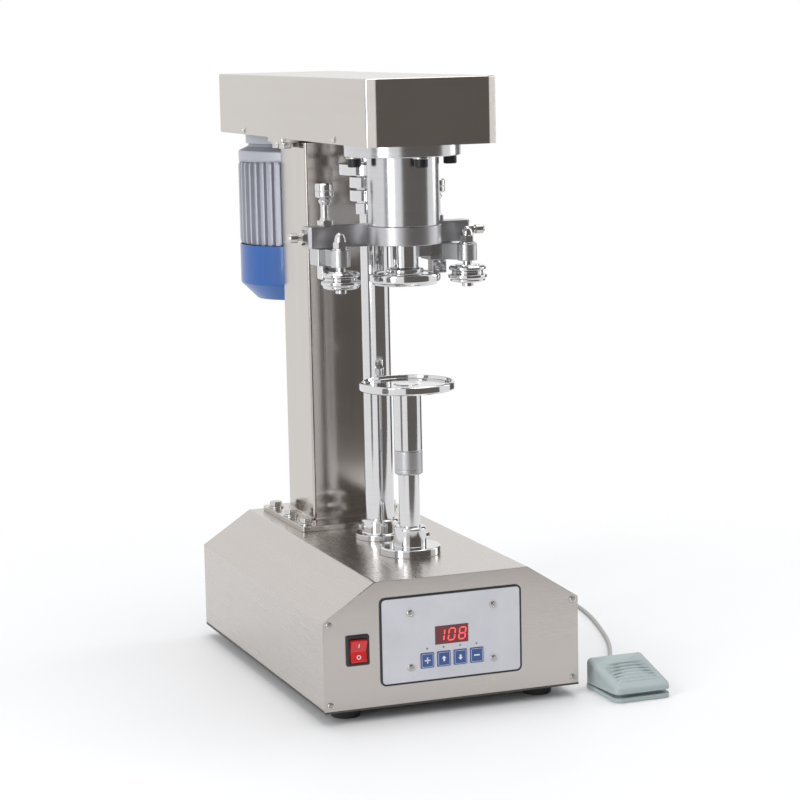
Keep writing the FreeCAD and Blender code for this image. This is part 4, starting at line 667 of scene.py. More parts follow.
def folded_cover():
    """One closed section with soft folds, carried from the front plate to the rear plate."""
    t = 2.0
    right_out = [(half_width - 12, cover_z), (half_width, cover_z), (half_width, side_top), (half_deck, base_top)]
    right_in = [(half_deck - 0.9, base_top - t), (half_width - t, side_top - 1.0), (half_width - t, cover_z + t),
                (half_width - 12, cover_z + t)]
    left_out = [(-x, z) for x, z in reversed(right_out)]
    left_in = [(-x, z) for x, z in reversed(right_in)]
    section = right_out + left_out + left_in + right_in
    line = softened(section, 1.6, steps=5)
    y_low, y_high = front_y + 2.0, rear_y - 2.0
    rings = [(-y_low, line), (-y_high, line)]
    points = np.vstack([np.column_stack([ring, np.full(len(ring), w)]) for w, ring in rings]) * MM
    n = len(line)
    faces = list(grid_faces(2, n, wrap_columns=True)) + [np.arange(n)[::-1], np.arange(n) + n]
    return Shell(points, faces).placed(TURN["FRONT"])


def end_loop(inset=0.0):
    return mirrored(
        (half_width - inset, cover_z), (half_width - inset, side_top), (half_deck - inset / 2, base_top)
    )


screw_x, screw_low, screw_high = 136.3, 21.2, 105.9
corner_places = [(sx * screw_x, z) for sx in (-1, 1) for z in (screw_low, screw_high)]
panel_x, panel_z = -2.2, 82.0
switch_x, switch_z = -105.8, 77.0

piece("cover_sheet", folded_cover(), cover_steel, "frame", ["base_cover"], 30)
front_loops = [end_loop(), box_loop(panel_x, panel_z, 148, 83), box_loop(switch_x, switch_z, 21.8, 28.8)]
front_loops += [ring_loop(x, z, 2.0, 16) for x, z in corner_places]
piece("front_sheet", blank(front_loops, 2.0).placed(facing("FRONT", 0, (front_y + 2) * MM, 0)),
      plate_steel, "frame", ["front_plate"])
vents = [box_loop(0, 63 + 10 * k, 60, 3, 1.4) for k in range(-2, 3)]
rear_loops = [end_loop(), box_loop(-80, 62, 27, 20), ring_loop(110, 35, 4.5, 24)] + vents
rear_loops += [ring_loop(x, z, 2.0, 16) for x, z in corner_places]
piece("rear_sheet", blank(rear_loops, 2.0).placed(facing("FRONT", 0, rear_y * MM, 0)),
      plate_steel, "frame", ["rear_plate"])

foot_places = [(sx * 108.5, y) for y in (front_y + 34, rear_y - 34) for sx in (-1, 1)]
foot_profile = [(15, 0), (16.6, 8.4), (15.9, 9.2), (17.5, 10.2), (17.5, 13), (3.05, 13), (3.05, 5),
                (6.3, 5), (6.3, 0)]
feet = turned(foot_profile, 0.8, 48)
all_feet = Shell(np.zeros((0, 3)), [])
for x, y in foot_places:
    all_feet = all_feet + feet.at(x * MM, y * MM, 0)
piece("feet", all_feet, foot_rubber, "frame", ["rubber_feet"])

fascia_places = [(panel_x + sx * 46.1, z) for sx in (-1, 1) for z in (52.7, 110.2)]
hood_screw_z = mount_z + 5
pan = cross_head(3.6, 2.2)
heads = [facing("FRONT", x * MM, front_y * MM, z * MM) for x, z in corner_places]
heads += [facing("REAR", x * MM, rear_y * MM, z * MM) for x, z in corner_places]
heads += [facing("FRONT", x * MM, (front_y - 1.4) * MM, z * MM) for x, z in fascia_places]
for back in (104.5, 423.4):
    heads.append(facing("RIGHT", 71.5 * MM, (-244 + back) * MM, hood_screw_z * MM))
    heads.append(facing("LEFT", -71.5 * MM, (-244 + back) * MM, hood_screw_z * MM))
screws = Shell(np.zeros((0, 3)), [])
for place in heads:
    screws = screws + pan.placed(place)
foot_head = cross_head(6.0, 3.3)
for x, y in foot_places:
    screws = screws + foot_head.placed(facing("DOWN", x * MM, y * MM, 5 * MM))
piece("sheet_screws", screws, screw_zinc, "frame", ["cover_screws"], 50)

# ---------------------------------------------------------------- control panel

rim = [box_loop(panel_x, panel_z, 158, 93, 6), box_loop(panel_x, panel_z, 154.4, 89.4, 4.2)]
piece("panel_rim", blank(rim, 1.8, 0.5).placed(facing("FRONT", 0, front_y * MM, 0)),
      black_plastic, "frame", ["panel_bezel"])
key_places = [(panel_x + (k - 1.5) * 18.45, 58.2) for k in range(4)]
film = [box_loop(panel_x, panel_z, 154.1, 89.1, 4.0), box_loop(panel_x, 83.5, 36.8, 19.3)]
film += [box_loop(x, z, 14.9, 16.2, 0.8) for x, z in key_places]
film += [ring_loop(x, z, 2.0, 16) for x, z in fascia_places]
piece("panel_film", blank(film, 1.4, 0.2).placed(facing("FRONT", 0, front_y * MM, 0)),
      fascia_film, "frame", ["control_fascia"])


def soft_cap(width, height, depth, corner, crown):
    """A key cap: a rounded rectangle whose outline shrinks and rises as a quarter superellipse,
    inset = c (1 - cos a), z = depth - c (1 - sin a), closed by a slightly crowned face."""
    a = np.linspace(0, math.pi / 2, 6)
    insets = np.concatenate([[0], crown * (1 - np.cos(a)), [width * 0.2, width * 0.4]])
    heights = np.concatenate([[0], depth - crown * (1 - np.sin(a)), [depth + 0.05, depth + 0.07]])
    rings = [box_loop(0, 0, width - 2 * i, height - 2 * i, max(corner - i, 0.15)) for i in insets]
    points = np.vstack([np.column_stack([r, np.full(len(r), z)]) for r, z in zip(rings, heights)]) * MM
    n = len(rings[0])
    faces = list(grid_faces(len(rings), n, wrap_columns=True))
    faces += [np.arange(n)[::-1], np.arange(n) + (len(rings) - 1) * n]
    return Shell(points, faces)


ARROW = [(-2.6, -1.0), (0.4, -1.0), (0.4, -2.6), (3.2, 0.0), (0.4, 2.6), (0.4, 1.0), (-2.6, 1.0)]
DIAMOND = [(2.9, 0), (0, 2.9), (-2.9, 0), (0, -2.9)]
MARKS = [
    [np.array([(-3.2, 0.6), (-3.2, -0.6), (3.2, -0.6), (3.2, 0.6)]),
     np.array([(-0.6, 3.2), (-0.6, -3.2), (0.6, -3.2), (0.6, 3.2)])],
    [np.array([(y, x) for x, y in ARROW])],
    [np.array([(y, -x) for x, y in ARROW])],
    [np.array([(-3.2, 0.7), (-3.2, -0.7), (3.2, -0.7), (3.2, 0.7)])],
]
key_front = front_y - 1.4
for number, ((x, z), marks) in enumerate(zip(key_places, MARKS), start=1):
    body = "key_%d" % number
    cap = soft_cap(14.6, 15.9, 4.4, 0.9, 0.5).placed(facing("FRONT", x * MM, (key_front + 3.6) * MM, z * MM))
    piece("key_cap_%d" % number, cap, key_film, body, [body])
    sign = Shell(np.zeros((0, 3)), [])
    for loop in marks:
        sign = sign + blank([loop], 0.14, 0.03)
    border = blank([box_loop(0, 0, 12.6, 13.9, 1.0), box_loop(0, 0, 12.0, 13.3, 0.7)], 0.14, 0.03)
    sign = (sign + border).placed(facing("FRONT", x * MM, (key_front - 0.82) * MM, z * MM))
    piece("key_sign_%d" % number, sign, mark_white, body)
    dot = turned([(0, 0), (1.0, 0), (1.0, 0.16), (0, 0.16)], 0.05, 16, closed=False)
    piece("key_dot_%d" % number, dot.placed(facing("FRONT", x * MM, key_front * MM, 70.6 * MM)),
          mark_grey, "frame")

nodes["display_window"].data.materials.clear()
nodes["display_window"].data.materials.append(window_red)
SEGMENTS = {"a": (0, 1, 0), "d": (0, -1, 0), "g": (0, 0, 0), "b": (1, 0.5, 1), "c": (1, -0.5, 1),
            "e": (-1, -0.5, 1), "f": (-1, 0.5, 1)}
DIGITS = {"1": "bc", "6": "acdefg", "8": "abcdefg", "0": "abcdef", "2": "abdeg"}


def digit(figure, x, z):
    """One seven-segment figure, 14.2 mm high and leaning 8 degrees; a segment is a bar with pointed ends."""
    shell = Shell(np.zeros((0, 3)), [])
    half_w, half_h, w = 3.4, 6.1, 0.75
    for key in DIGITS[figure]:
        sx, sz, upright = SEGMENTS[key]
        length = (half_h if upright else 2 * half_w) / 2 - 0.35
        bar = np.array([(length, 0), (length - w, w), (w - length, w), (-length, 0), (w - length, -w),
                        (length - w, -w)])
        if upright:
            bar = bar[:, ::-1]
        bar = bar + (sx * half_w, sz * half_h)
        bar[:, 0] += bar[:, 1] * math.tan(math.radians(8))
        shell = shell + blank([bar], 0.16, 0.04)
    return shell.placed(facing("FRONT", x * MM, (front_y - 1.8) * MM, z * MM))


figures = Shell(np.zeros((0, 3)), [])
for k, figure in enumerate("108"):
    figures = figures + digit(figure, panel_x + (k - 1) * 11.8, 83.5)
piece("display_digits", figures, digit_glow, "frame")

# ---------------------------------------------------------------- rocker switch

switch_rim = [box_loop(0, 0, 25, 32, 1.8), box_loop(0, 0, 17.9, 24.9, 0.6)]
well = extruded(box_loop(0, 0, 21.7, 28.7, 0.5), -20.0, 0.2, "UP", end=0.2)
switch_shell = blank(switch_rim, 2.6, 0.8) + extruded(
    [(8.9, -12.4), (8.9, 12.4), (-8.9, 12.4), (-8.9, -12.4)], -3.0, 0.6, "UP", end=0.1
)
piece("switch_frame", switch_shell.placed(facing("FRONT", switch_x * MM, front_y * MM, switch_z * MM)),
      black_plastic, "frame", ["switch_housing"])


def rocker_shell():
    """The rocker's side view, two flat lobes that meet in a shallow valley, carried across its width.
    Heights are measured outwards from the front plate, along the plate's own up axis."""
    side = [(-11.6, 0), (-11.6, 5.6), (-10.8, 5.7), (0, 3.0), (10.8, 5.7), (11.6, 5.6), (11.6, 0), (0, -5)]
    return extruded(side, -8.5, 8.5, "UP", soft=0.9, end=0.5)


lean = Matrix.Rotation(math.radians(7), 4, "X")
seat = shift(switch_x * MM, front_y * MM, switch_z * MM) @ lean
# the section's first axis runs up the plate, its second out of it, and its length runs across
across = Matrix(((0, 0, 1, 0), (0, -1, 0, 0), (1, 0, 0, 0), (0, 0, 0, 1)))
piece("rocker_cap", rocker_shell().placed(seat @ across), rocker_red, "rocker", ["rocker"])
on_mark = blank([[(-0.45, -2.2), (0.45, -2.2), (0.45, 2.2), (-0.45, 2.2)]], 0.16, 0.04)
off_mark = blank([ring_loop(0, 0, 2.3, 28), ring_loop(0, 0, 1.5, 28)], 0.16, 0.04)
slope = math.atan2(2.7, 10.8)
upper = seat @ shift(0, -4.55 * MM, 6.2 * MM) @ Matrix.Rotation(slope, 4, "X") @ TURN["FRONT"]
lower = seat @ shift(0, -4.55 * MM, -6.2 * MM) @ Matrix.Rotation(-slope, 4, "X") @ TURN["FRONT"]
piece("rocker_marks", on_mark.placed(upper) + off_mark.placed(lower), mark_white, "rocker")

gland = [(2.25, -6), (4.4, -6), (4.4, 0), (7.5, 0), (7.5, 5.0), (6.9, 5.4), (6.9, 6.2), (6.5, 6.6), (6.3, 7.6),
         (5.9, 8.0), (5.6, 9.2), (5.2, 9.6), (4.6, 12), (2.25, 12)]
piece("cord_entry", turned(gland, 0.3, 40).placed(facing("REAR", 110 * MM, rear_y * MM, 35 * MM)),
      black_plastic, "frame", ["cord_gland"])

# ---------------------------------------------------------------- column


def column_tube():
    """A square tube: a softened outer loop and an inner loop joined top and bottom. Rows run upwards."""
    outer = softened(box_loop(0, 0, 90, 90), 3.2, steps=6)
    inner = softened(box_loop(0, 0, 84, 84), 1.0, steps=6)
    z0, z1 = base_top + 6, mount_z - 6
    rings = [(outer, z0), (outer, z1), (inner, z1), (inner, z0)]
    points = np.vstack([np.column_stack([loop, np.full(len(loop), z)]) for loop, z in rings]) * MM
    return Shell(points, grid_faces(4, len(outer), wrap_rows=True, wrap_columns=True)).at(0, column_y * MM, 0)


column_bolts = [(sx * 61, column_y - 8.5 + dy) for sx in (-1, 1) for dy in (-56, 0, 56)]
foot_plate = [box_loop(0, column_y - 8.5, 143, 149, 3)] + [ring_loop(x, y, 4.1, 20) for x, y in column_bolts]
top_bolts = [(sx * 57, column_y + sy * 12) for sx in (-1, 1) for sy in (-1, 1)]
head_plate = [box_loop(0, column_y, 132, 50, 3), box_loop(0, column_y, 84, 25)]
head_plate += [ring_loop(x, y, 4.1, 20) for x, y in top_bolts]


def weld_bead(loop, z, radius, up):
    """A fillet weld along a closed loop: a round bead whose radius ripples, r (1 + 0.12 sin 2 pi k / 3)."""
    line = np.repeat(np.asarray(loop, float), 1, axis=0)
    nxt = np.roll(line, -1, axis=0)
    s = np.linspace(0, 1, 12, endpoint=False)[None, :, None]
    path = (line[:, None] * (1 - s) + nxt[:, None] * s).reshape(-1, 2)
    n = len(path)
    a = np.arange(8) * math.pi / 4
    swell = radius * (1 + 0.14 * np.sin(np.arange(n) * 2.1))[:, None]
    outward = path - path.mean(axis=0)
    outward /= np.linalg.norm(outward, axis=1, keepdims=True)
    xy = path[:, None] + outward[:, None] * (swell * np.cos(a))[..., None]
    zz = z + up * swell * np.sin(a)
    points = np.concatenate([xy, zz[..., None]], axis=-1) * MM
    return Shell(points, grid_faces(n, 8, wrap_rows=True, wrap_columns=True))


column_shell = column_tube()
column_shell = column_shell + blank(foot_plate, 6, 0.6).at(0, 0, base_top * MM)
column_shell = column_shell + blank(head_plate, 6, 0.6).at(0, 0, (mount_z - 6) * MM)
column_shell = column_shell + weld_bead(box_loop(0, column_y, 90.6, 90.6, 3), base_top + 6, 1.5, 1)
piece("column_weldment", column_shell, column_steel, "frame", ["column"], 30)

# ---------------------------------------------------------------- guide post

piece("post", turned([(0, 0), (16, 0), (16, 441.5), (0, 441.5)], 0.8, 128, closed=False)
      .at(0, post_y * MM, base_top * MM), post_chrome, "frame", ["guide_post"])
post_collar = [(28, 0), (28, 6), (22.2, 6), (21, 7.2), (21, 20), (19, 22), (16.02, 22), (16.02, 0)]
piece("post_socket", turned(post_collar, 0.7, 128).at(0, post_y * MM, base_top * MM),
      post_chrome, "frame", ["post_foot"])
clamp = [(16.02, 441.5), (24, 441.5)]
z = 441.5 - 25.5 + 2.4
clamp.append((24, z))
for radius in (37, 26, 26, 20):
    clamp += [(18.5, z), (18.5, z - 2.4), (radius, z - 2.4), (radius, z - 14.4)]
    z = z - 14.4
clamp.append((16.02, z))
piece("post_clamp", turned(clamp, 0.7, 128).at(0, post_y * MM, base_top * MM),
      post_chrome, "frame", ["post_head"])

# ---------------------------------------------------------------- hood


def hood_shell():
    """A pressed lid: its outline rises as a wall, turns inward round a 2 mm fold, q(a) = wall + R(1 - cos a),
    and closes in a flat top; inside, the same again one sheet thinner."""
    def ring(inset):
        half, front, rear = 71.5 - inset, -244 + inset, 276.4 - inset
        loop = [(half - 10, front), (half, front + 6), (half, rear), (-half, rear), (-half, front + 6),
                (10 - half, front)]
        return softened(loop, max(1.5 - inset * 0.3, 0.5), steps=4)

    fold = 1.6
    a = np.linspace(0, math.pi / 2, 5)
    top = 69.2
    walls = [(0, 0), (0, top - fold - 1)]
    walls += [(fold * (1 - math.cos(k)), top - fold + fold * math.sin(k)) for k in a]
    walls += [(fold + 2, top)]
    inner = [(fold + 3, top - 1.5), (1.9, top - 1.5), (1.5, top - 2.0), (1.5, 0)]
    rings = [(ring(i), z) for i, z in walls]
    inside = [(ring(i), z) for i, z in inner]
    n = len(rings[0][0])
    outer = np.vstack([np.column_stack([loop, np.full(n, z)]) for loop, z in rings])
    below = np.vstack([np.column_stack([loop, np.full(n, z)]) for loop, z in inside])
    faces = list(grid_faces(len(rings), n, wrap_columns=True))
    faces.append(np.arange(n) + (len(rings) - 1) * n)
    count = len(rings) * n
    faces += [row + count for row in grid_faces(len(inside), n, wrap_columns=True)]
    faces.append(np.arange(n)[::-1] + count)
    last = count + (len(inside) - 1) * n
    j = np.arange(n)
    faces += list(np.stack([last + j, last + (j + 1) % n, (j + 1) % n, j], axis=1))
    return Shell(np.vstack([outer, below]) * MM, faces).at(0, 0, mount_z * MM)


hood_steel = brushed_sheet("hood_steel", "Y", STAINLESS, 0.22)
piece("hood_lid", hood_shell(), hood_steel, "frame", ["hood"], 30)

# ---------------------------------------------------------------- head: barrel, carrier, spindle, chuck

barrel_z = low("barrel")[2]
barrel_profile = [(26.02, 0), (38.5, 0), (38.5, 73.5), (62, 73.5), (62, 87), (26.02, 87)]
piece("barrel_drum", turned(barrel_profile, 0.9, 160).at(0, spindle_y * MM, barrel_z * MM),
      barrel_steel, "frame", ["barrel"])
cap_places = [(0, spindle_y - 54), (0, spindle_y + 54), (-54, spindle_y), (54, spindle_y)]
cap = socket_screw(7.0, 9.0)
cap_screws = Shell(np.zeros((0, 3)), [])
for x, y in cap_places:
    cap_screws = cap_screws + cap.placed(facing("DOWN", x * MM, y * MM, (mount_z - 15.1) * MM))
piece("barrel_cap_screws", cap_screws, black_oxide, "frame", ["barrel_screws"])

ring = turned([(24, -19.8), (39.7, -19.8), (39.7, 0), (24, 0)], 0.8, 144)


def beam_arm(side, reach):
    """One arm of the carrier's beam, a bar with soft edges and a chamfered outer front corner."""
    outline = [(side * 26, 24), (side * (reach - 3), 24), (side * reach, 27), (side * reach, 46), (side * 10, 46),
               (side * 10, 38)]
    if side < 0:
        outline = outline[::-1]
    holes = [ring_loop(side * (76 if side < 0 else 51), 35, 6.05, 32)]
    return blank([outline] + holes, 23, 0.7).at(0, 0, -23 * MM)


carrier = (ring + beam_arm(-1, 98) + beam_arm(1, 86)).at(0, spindle_y * MM, barrel_z * MM)
piece("carrier", carrier, ring_aluminium, "frame", ["roller_carrier"], 32)

chuck_top = barrel_z - 50.5
piece("spindle_end", turned([(0, 0), (20, 0), (20, 3.6), (19, 4.5), (16.2, 4.5), (14.7, 6), (14.7, 51.5),
                             (12.5, 51.5), (12.5, 206.5), (0, 206.5)], 0.5, 96, closed=False)
      .at(0, spindle_y * MM, chuck_top * MM), spindle_chrome, "spindle", ["spindle"])
chuck_profile = [(0, 3), (30, 3), (31, 0), (34, 0), (35.7, 2.3), (37.6, 3.4), (38.2, 4.8), (38.2, 9.8),
                 (37.5, 11.6), (35.7, 12.3), (30, 12.3), (28.6, 11.4), (22, 11.4), (0, 11.4)]
piece("chuck_disc", turned(chuck_profile, 0.6, 144, closed=False)
      .at(0, spindle_y * MM, (chuck_top - 12.3) * MM), spindle_chrome, "spindle", ["chuck"])

# ---------------------------------------------------------------- levers, studs and rollers

lever_z = barrel_z - 23 - 0.3 - 18
pin_profile = [(0, -27.8), (6, -27.8), (6, -23.3), (5, -23.3), (5, 18), (9, 18), (9, 19.6), (7.6, 19.6)]
roller_profile = [
    (5.05, 0), (16, 0), (19, 1.5), (19, 3.5), (21, 5), (21, 8), (17, 9.5), (17, 11.8), (20, 13.7), (20, 16),
    (18, 18), (13, 18), (13, 19), (5.05, 19),
]


def lever_shell(side, pivot_x, tail):
    """The lever: a pivot block, a bar to the round boss over the roller, all with soft edges."""
    block = blank([box_loop(side * pivot_x, 35, 28, 28, 2)] + [ring_loop(side * pivot_x, 35, 6.02, 32)], 18, 0.9)
    a, b = side * 72, side * pivot_x
    bar = np.array([(a + 7, 4), (b + 7, 30), (b - 7, 30), (a - 7, 4)])
    arm = blank([bar], 17.4, 0.6).at(0, 0, 0.3 * MM)
    boss = turned([(5.05, 0), (10.5, 0), (10.5, 18), (5.05, 18)], 0.8, 72).at(a * MM, 0, 0)
    shell = block + arm + boss
    if tail:
        reach = b - 14 - 12
        shell = shell + blank([[(reach, 21), (b, 21), (b, 35), (reach, 35)]], 14, 0.8).at(0, 0, 4 * MM)
    return shell.at(0, spindle_y * MM, lever_z * MM)


def dome_nut():
    """An acorn nut: a hexagon base, a groove, and a dome z(a) = z0 + R sin a."""
    base = hexagonal(13.6, 19.6, 27.0)
    a = np.linspace(0, math.pi / 2, 9)
    dome = np.column_stack([6.6 * np.cos(a), 27.0 + 9.6 * np.sin(a)])
    cap = turned(np.vstack([[(0, 26.5)], [(6.6, 26.5)], dome]), 0.0001, 48, closed=False)
    return base + cap


stud_top = 18 + 0.3 + 23 + 0.3
stud_nut_low = stud_top + 45 - 15
stud_profile = [
    (0, -15), (6, -15), (6, stud_top + 6), (4.5, stud_top + 9), (4.5, stud_nut_low - 8), (7, stud_nut_low - 4),
    (4.5, stud_nut_low), (8.6, stud_nut_low), (10, stud_nut_low + 1.4), (10, stud_nut_low + 6),
    (9.2, stud_nut_low + 6.8), (10, stud_nut_low + 7.6), (10, stud_nut_low + 13.5), (8.5, stud_nut_low + 15),
    (0, stud_nut_low + 15),
]
for name, side, pivot_x, tail, metal in (
    ("left", -1, 76, False, left_roller_chrome), ("right", 1, 51, True, right_roller_chrome)
):
    lever = piece("lever_arm_" + name, lever_shell(side, pivot_x, tail), beam_aluminium, "lever_" + name,
                  ["lever_" + name], 32)
    pin = turned(pin_profile, 0.4, 64) + dome_nut()
    pin = pin.at(side * 72 * MM, spindle_y * MM, lever_z * MM)
    stud = turned(stud_profile, 0.35, 64, closed=False) + hexagonal(15.6, stud_top, stud_top + 6)
    stud = stud + extruded(box_loop(0, 0, 16, 16, 1.5), -15, -0.3, "UP", end=0.6)
    stud = stud.at(side * pivot_x * MM, (spindle_y + 35) * MM, lever_z * MM)
    piece("lever_pins_" + name, pin + stud, metal, "lever_" + name,
          ["lever_studs_" + name], 32)
    roller = turned(roller_profile, 0.45, 112).at(side * 72 * MM, spindle_y * MM, (lever_z - 23) * MM)
    piece("seaming_roller_" + name, roller, metal, "roller_" + name, ["roller_" + name], 32)

# ---------------------------------------------------------------- fasteners of frame and head

bolt = hexagonal(13.0, 1.6, 7.1) + turned([(4.1, 0), (9, 0), (9, 1.6), (4.1, 1.6)], 0.3, 40)
fasteners = Shell(np.zeros((0, 3)), [])
for x, y in column_bolts:
    fasteners = fasteners + bolt.at(x * MM, y * MM, (base_top + 6) * MM)
for x, y in top_bolts:
    fasteners = fasteners + bolt.placed(facing("DOWN", x * MM, y * MM, (mount_z - 6) * MM))
washer = turned([(4.1, 0), (9, 0), (9, 1.6), (4.1, 1.6)], 0.3, 40)
for x, y in cap_places:
    fasteners = fasteners + washer.at(x * MM, y * MM, (mount_z - 15.1) * MM)
stop = hexagonal(14.0, 0, 6) + turned(
    [(0, 0), (3, 0), (3, 10), (5, 10), (5, 18), (4.2, 19), (3.4, 20), (0, 20)], 0.3, 40, closed=False
)
arm_y, arm_z = spindle_y + 35, barrel_z - 11.5
fasteners = fasteners + stop.placed(facing("LEFT", -98 * MM, arm_y * MM, arm_z * MM))
fasteners = fasteners + stop.placed(facing("RIGHT", 86 * MM, arm_y * MM, arm_z * MM))
grub = socket_screw(3.4, 4.4, 36)
for turn, x, y, z in (("RIGHT", 20.9, post_y, base_top + 13.2), ("LEFT", -20.9, post_y, base_top + 13.2),
                      ("RIGHT", 17.6, spindle_y, base_top + 18.7)):
    fasteners = fasteners + grub.placed(facing(turn, x * MM, y * MM, z * MM))
piece("frame_fasteners", fasteners, screw_zinc, "frame", ["frame_bolts"], 40)

# ---------------------------------------------------------------- motor

body_z = low("motor_body")[2]
body_top = high("motor_body")[2]
cowl_z = low("fan_cowl")[2]


def finned_body():
    """The stator housing: r(t) = core + fin height x f(t), where f is a smooth tooth repeated forty times,
    f = clip(1.5 - |w| / half width), and the fins fade out in a rounded foot near both ends."""
    steps, count = 640, 40
    t = np.arange(steps) * 2 * math.pi / steps
    phase = (t * count / (2 * math.pi) + 0.5) % 1 - 0.5
    tooth = np.clip((0.155 - np.abs(phase)) / 0.07 + 0.5, 0, 1)
    span = body_top - body_z
    heights = np.array([0, 0.01, 1.2, 3, 6, span - 6, span - 3, span - 1.2, span - 0.01, span])
    ends = np.clip(np.minimum(heights, span - heights) / 5.0, 0, 1)
    swell = np.sqrt(1 - (1 - ends) ** 2)[:, None]
    radius = 64 + 5.6 * tooth[None, :] * (0.25 + 0.75 * swell)
    radius[0] = radius[-1] = 42.5
    points = np.stack([radius * np.cos(t), radius * np.sin(t), heights[:, None] + 0 * t], axis=-1) * MM
    bore = Shell(points, grid_faces(len(heights), steps, wrap_rows=True, wrap_columns=True))
    return bore.at(0, motor_y * MM, body_z * MM)


piece("motor_housing", finned_body(), motor_enamel, "frame", ["motor_body"], 40)
shield_profile = [
    (9.05, 32.5), (60, 32.5), (60, 20.5), (56, 20.5), (58, 17), (68, 12.6), (69, 11), (69, 2), (68.2, 1.2), (69, 0.4),
    (69, 0), (42.5, 0), (42.5, 12), (9.05, 12),
]
piece("motor_end_shield", turned(shield_profile, 1.0, 128).at(0, motor_y * MM, body_top * MM),
      motor_enamel, "frame", ["motor_shield"], 32)
cowl_wall = [(51, 0), (70, 19), (70, 65), (68.5, 65), (68.5, 19.6), (50.4, 1.5)]
cowl_shell = turned(cowl_wall, 1.4, 128)


def cowl_grille():
    """The cowl's flat end: a disc with sixteen rounded slots set like spokes."""
    loops = [ring_loop(0, 0, 51.2, 96)]
    for k in range(16):
        a = k * math.pi / 8
        slot = box_loop(32, 0, 24, 4, 1.5, 4)
        c, s = math.cos(a), math.sin(a)
        loops.append(slot @ np.array([(c, s), (-s, c)]))
    return blank(loops, 1.5, 0.3)


piece("fan_cover", (cowl_shell + cowl_grille()).at(0, motor_y * MM, cowl_z * MM),
      cowl_enamel, "frame", ["fan_cowl"], 32)

# ---------------------------------------------------------------- lift and turntable

guide = [(33, 0), (33, 7.7), (32, 8.7), (17.7, 8.7), (17.7, 27.7), (15.7, 29.7), (11.35, 29.7), (11.35, 0)]
piece("lift_bush", turned(guide, 0.7, 128).at(0, spindle_y * MM, base_top * MM),
      spindle_chrome, "frame", ["lift_guide"])
ring_z, sleeve_z, table_z = low("lock_ring")[2], low("lift_sleeve")[2], high("lift_sleeve")[2] + 0.3
collar = [(11.32, 0), (14.2, 0), (15.2, 1), (15.2, 5), (14.8, 5.4), (15.2, 5.8), (15.2, 25), (14.2, 26), (11.32, 26)]
piece("lock_collar", turned(collar, 0.5, 112).at(0, spindle_y * MM, ring_z * MM),
      ring_aluminium, "lift", ["lock_ring"])
sleeve = [(11.32, 0), (15.2, 0), (15.2, 65), (13.02, 65), (13.02, 54), (9.3, 54), (9.3, 40), (11.32, 40)]
piece("sleeve", turned(sleeve, 0.5, 112).at(0, spindle_y * MM, sleeve_z * MM),
      spindle_chrome, "lift", ["lift_sleeve"])
table = [(0, -11), (5, -11), (5, 0), (50, 0), (51.5, 1.4), (51.5, 7.6), (50.1, 9), (48, 9), (47, 5.5), (14, 5.5),
         (12.6, 6.5), (11.3, 6.5), (10.3, 6.1), (0, 6.1)]
piece("can_table", turned(table, 0.5, 160, closed=False).at(0, spindle_y * MM, table_z * MM),
      spindle_chrome, "table", ["turntable"])

# ---------------------------------------------------------------- foot switch

pedal_x, pedal_front, pedal_half = 196.8, -320.0, 32.75
pedal_length = 78.8  # leaves room for the cord's sleeve when the lid tips


def pedal_shell():
    """The cast lid. Rows climb from the skirt over a rounded shoulder to the crown: the plan is a rounded
    rectangle drawn in by d, and the height is a ramp along the pedal, h(y) = smooth step from the low
    toe to the heel, less the shoulder's drop R (1 - sin a)."""
    def ramp(y, toe, heel, knee):
        s = np.clip(y / knee, 0, 1)
        return toe + (heel - toe) * (s * 0.75 + 0.25 * s * s * (3 - 2 * s))

    crown = 5.0
    a = np.linspace(0, math.pi / 2, 8)
    rings = []
    for inset in np.concatenate([[0.0, 0.0], crown * (1 - np.cos(a)), [8.0, 12.0, 16.0, 20.0, 26.0]]):
        rings.append(inset)
    base_loop = box_loop(0, pedal_length / 2, 2 * pedal_half, pedal_length, 9, 10)
    points = []
    for k, inset in enumerate(rings):
        loop = box_loop(0, pedal_length / 2, 2 * (pedal_half - inset), pedal_length - 2 * inset,
                        max(9 - inset, 1.5), 10)
        top = ramp(loop[:, 1], 15, 33, 50) - np.clip(loop[:, 1] - 72, 0, 8) * 0.35
        skirt = 9.5 - 4.0 * loop[:, 1] / pedal_length
        if k == 0:
            z = skirt
        elif k == 1:
            z = top - crown
        else:
            drop = crown * (1 - math.sin(a[k - 2])) if k - 2 < len(a) else 0.0
            z = top - drop
        points.append(np.column_stack([loop, z]))
    n = len(base_loop)
    outer = np.vstack(points)
    count = len(rings)
    faces = list(grid_faces(count, n, wrap_columns=True))
    faces.append(np.arange(n) + (count - 1) * n)
    inner_rows = []
    for inset, height in ((3.0, None), (3.0, -3.2), (26.0, -3.2)):
        loop = box_loop(0, pedal_length / 2, 2 * (pedal_half - inset), pedal_length - 2 * inset,
                        max(9 - inset, 1.5), 10)
        top = ramp(loop[:, 1], 15, 33, 50)
        z = 9.5 - 4.0 * loop[:, 1] / pedal_length if height is None else top + height
        inner_rows.append(np.column_stack([loop, z]))
    inner = np.vstack(inner_rows)
    shift_by = count * n
    faces += [row[::-1] + shift_by for row in grid_faces(3, n, wrap_columns=True)]
    faces.append((np.arange(n) + 2 * n + shift_by)[::-1])
    j = np.arange(n)
    faces += list(np.stack([j, (j + 1) % n, (j + 1) % n + shift_by, j + shift_by], axis=1))
    return Shell(np.vstack([outer, inner]) * MM, faces).at(pedal_x * MM, pedal_front * MM, 0)


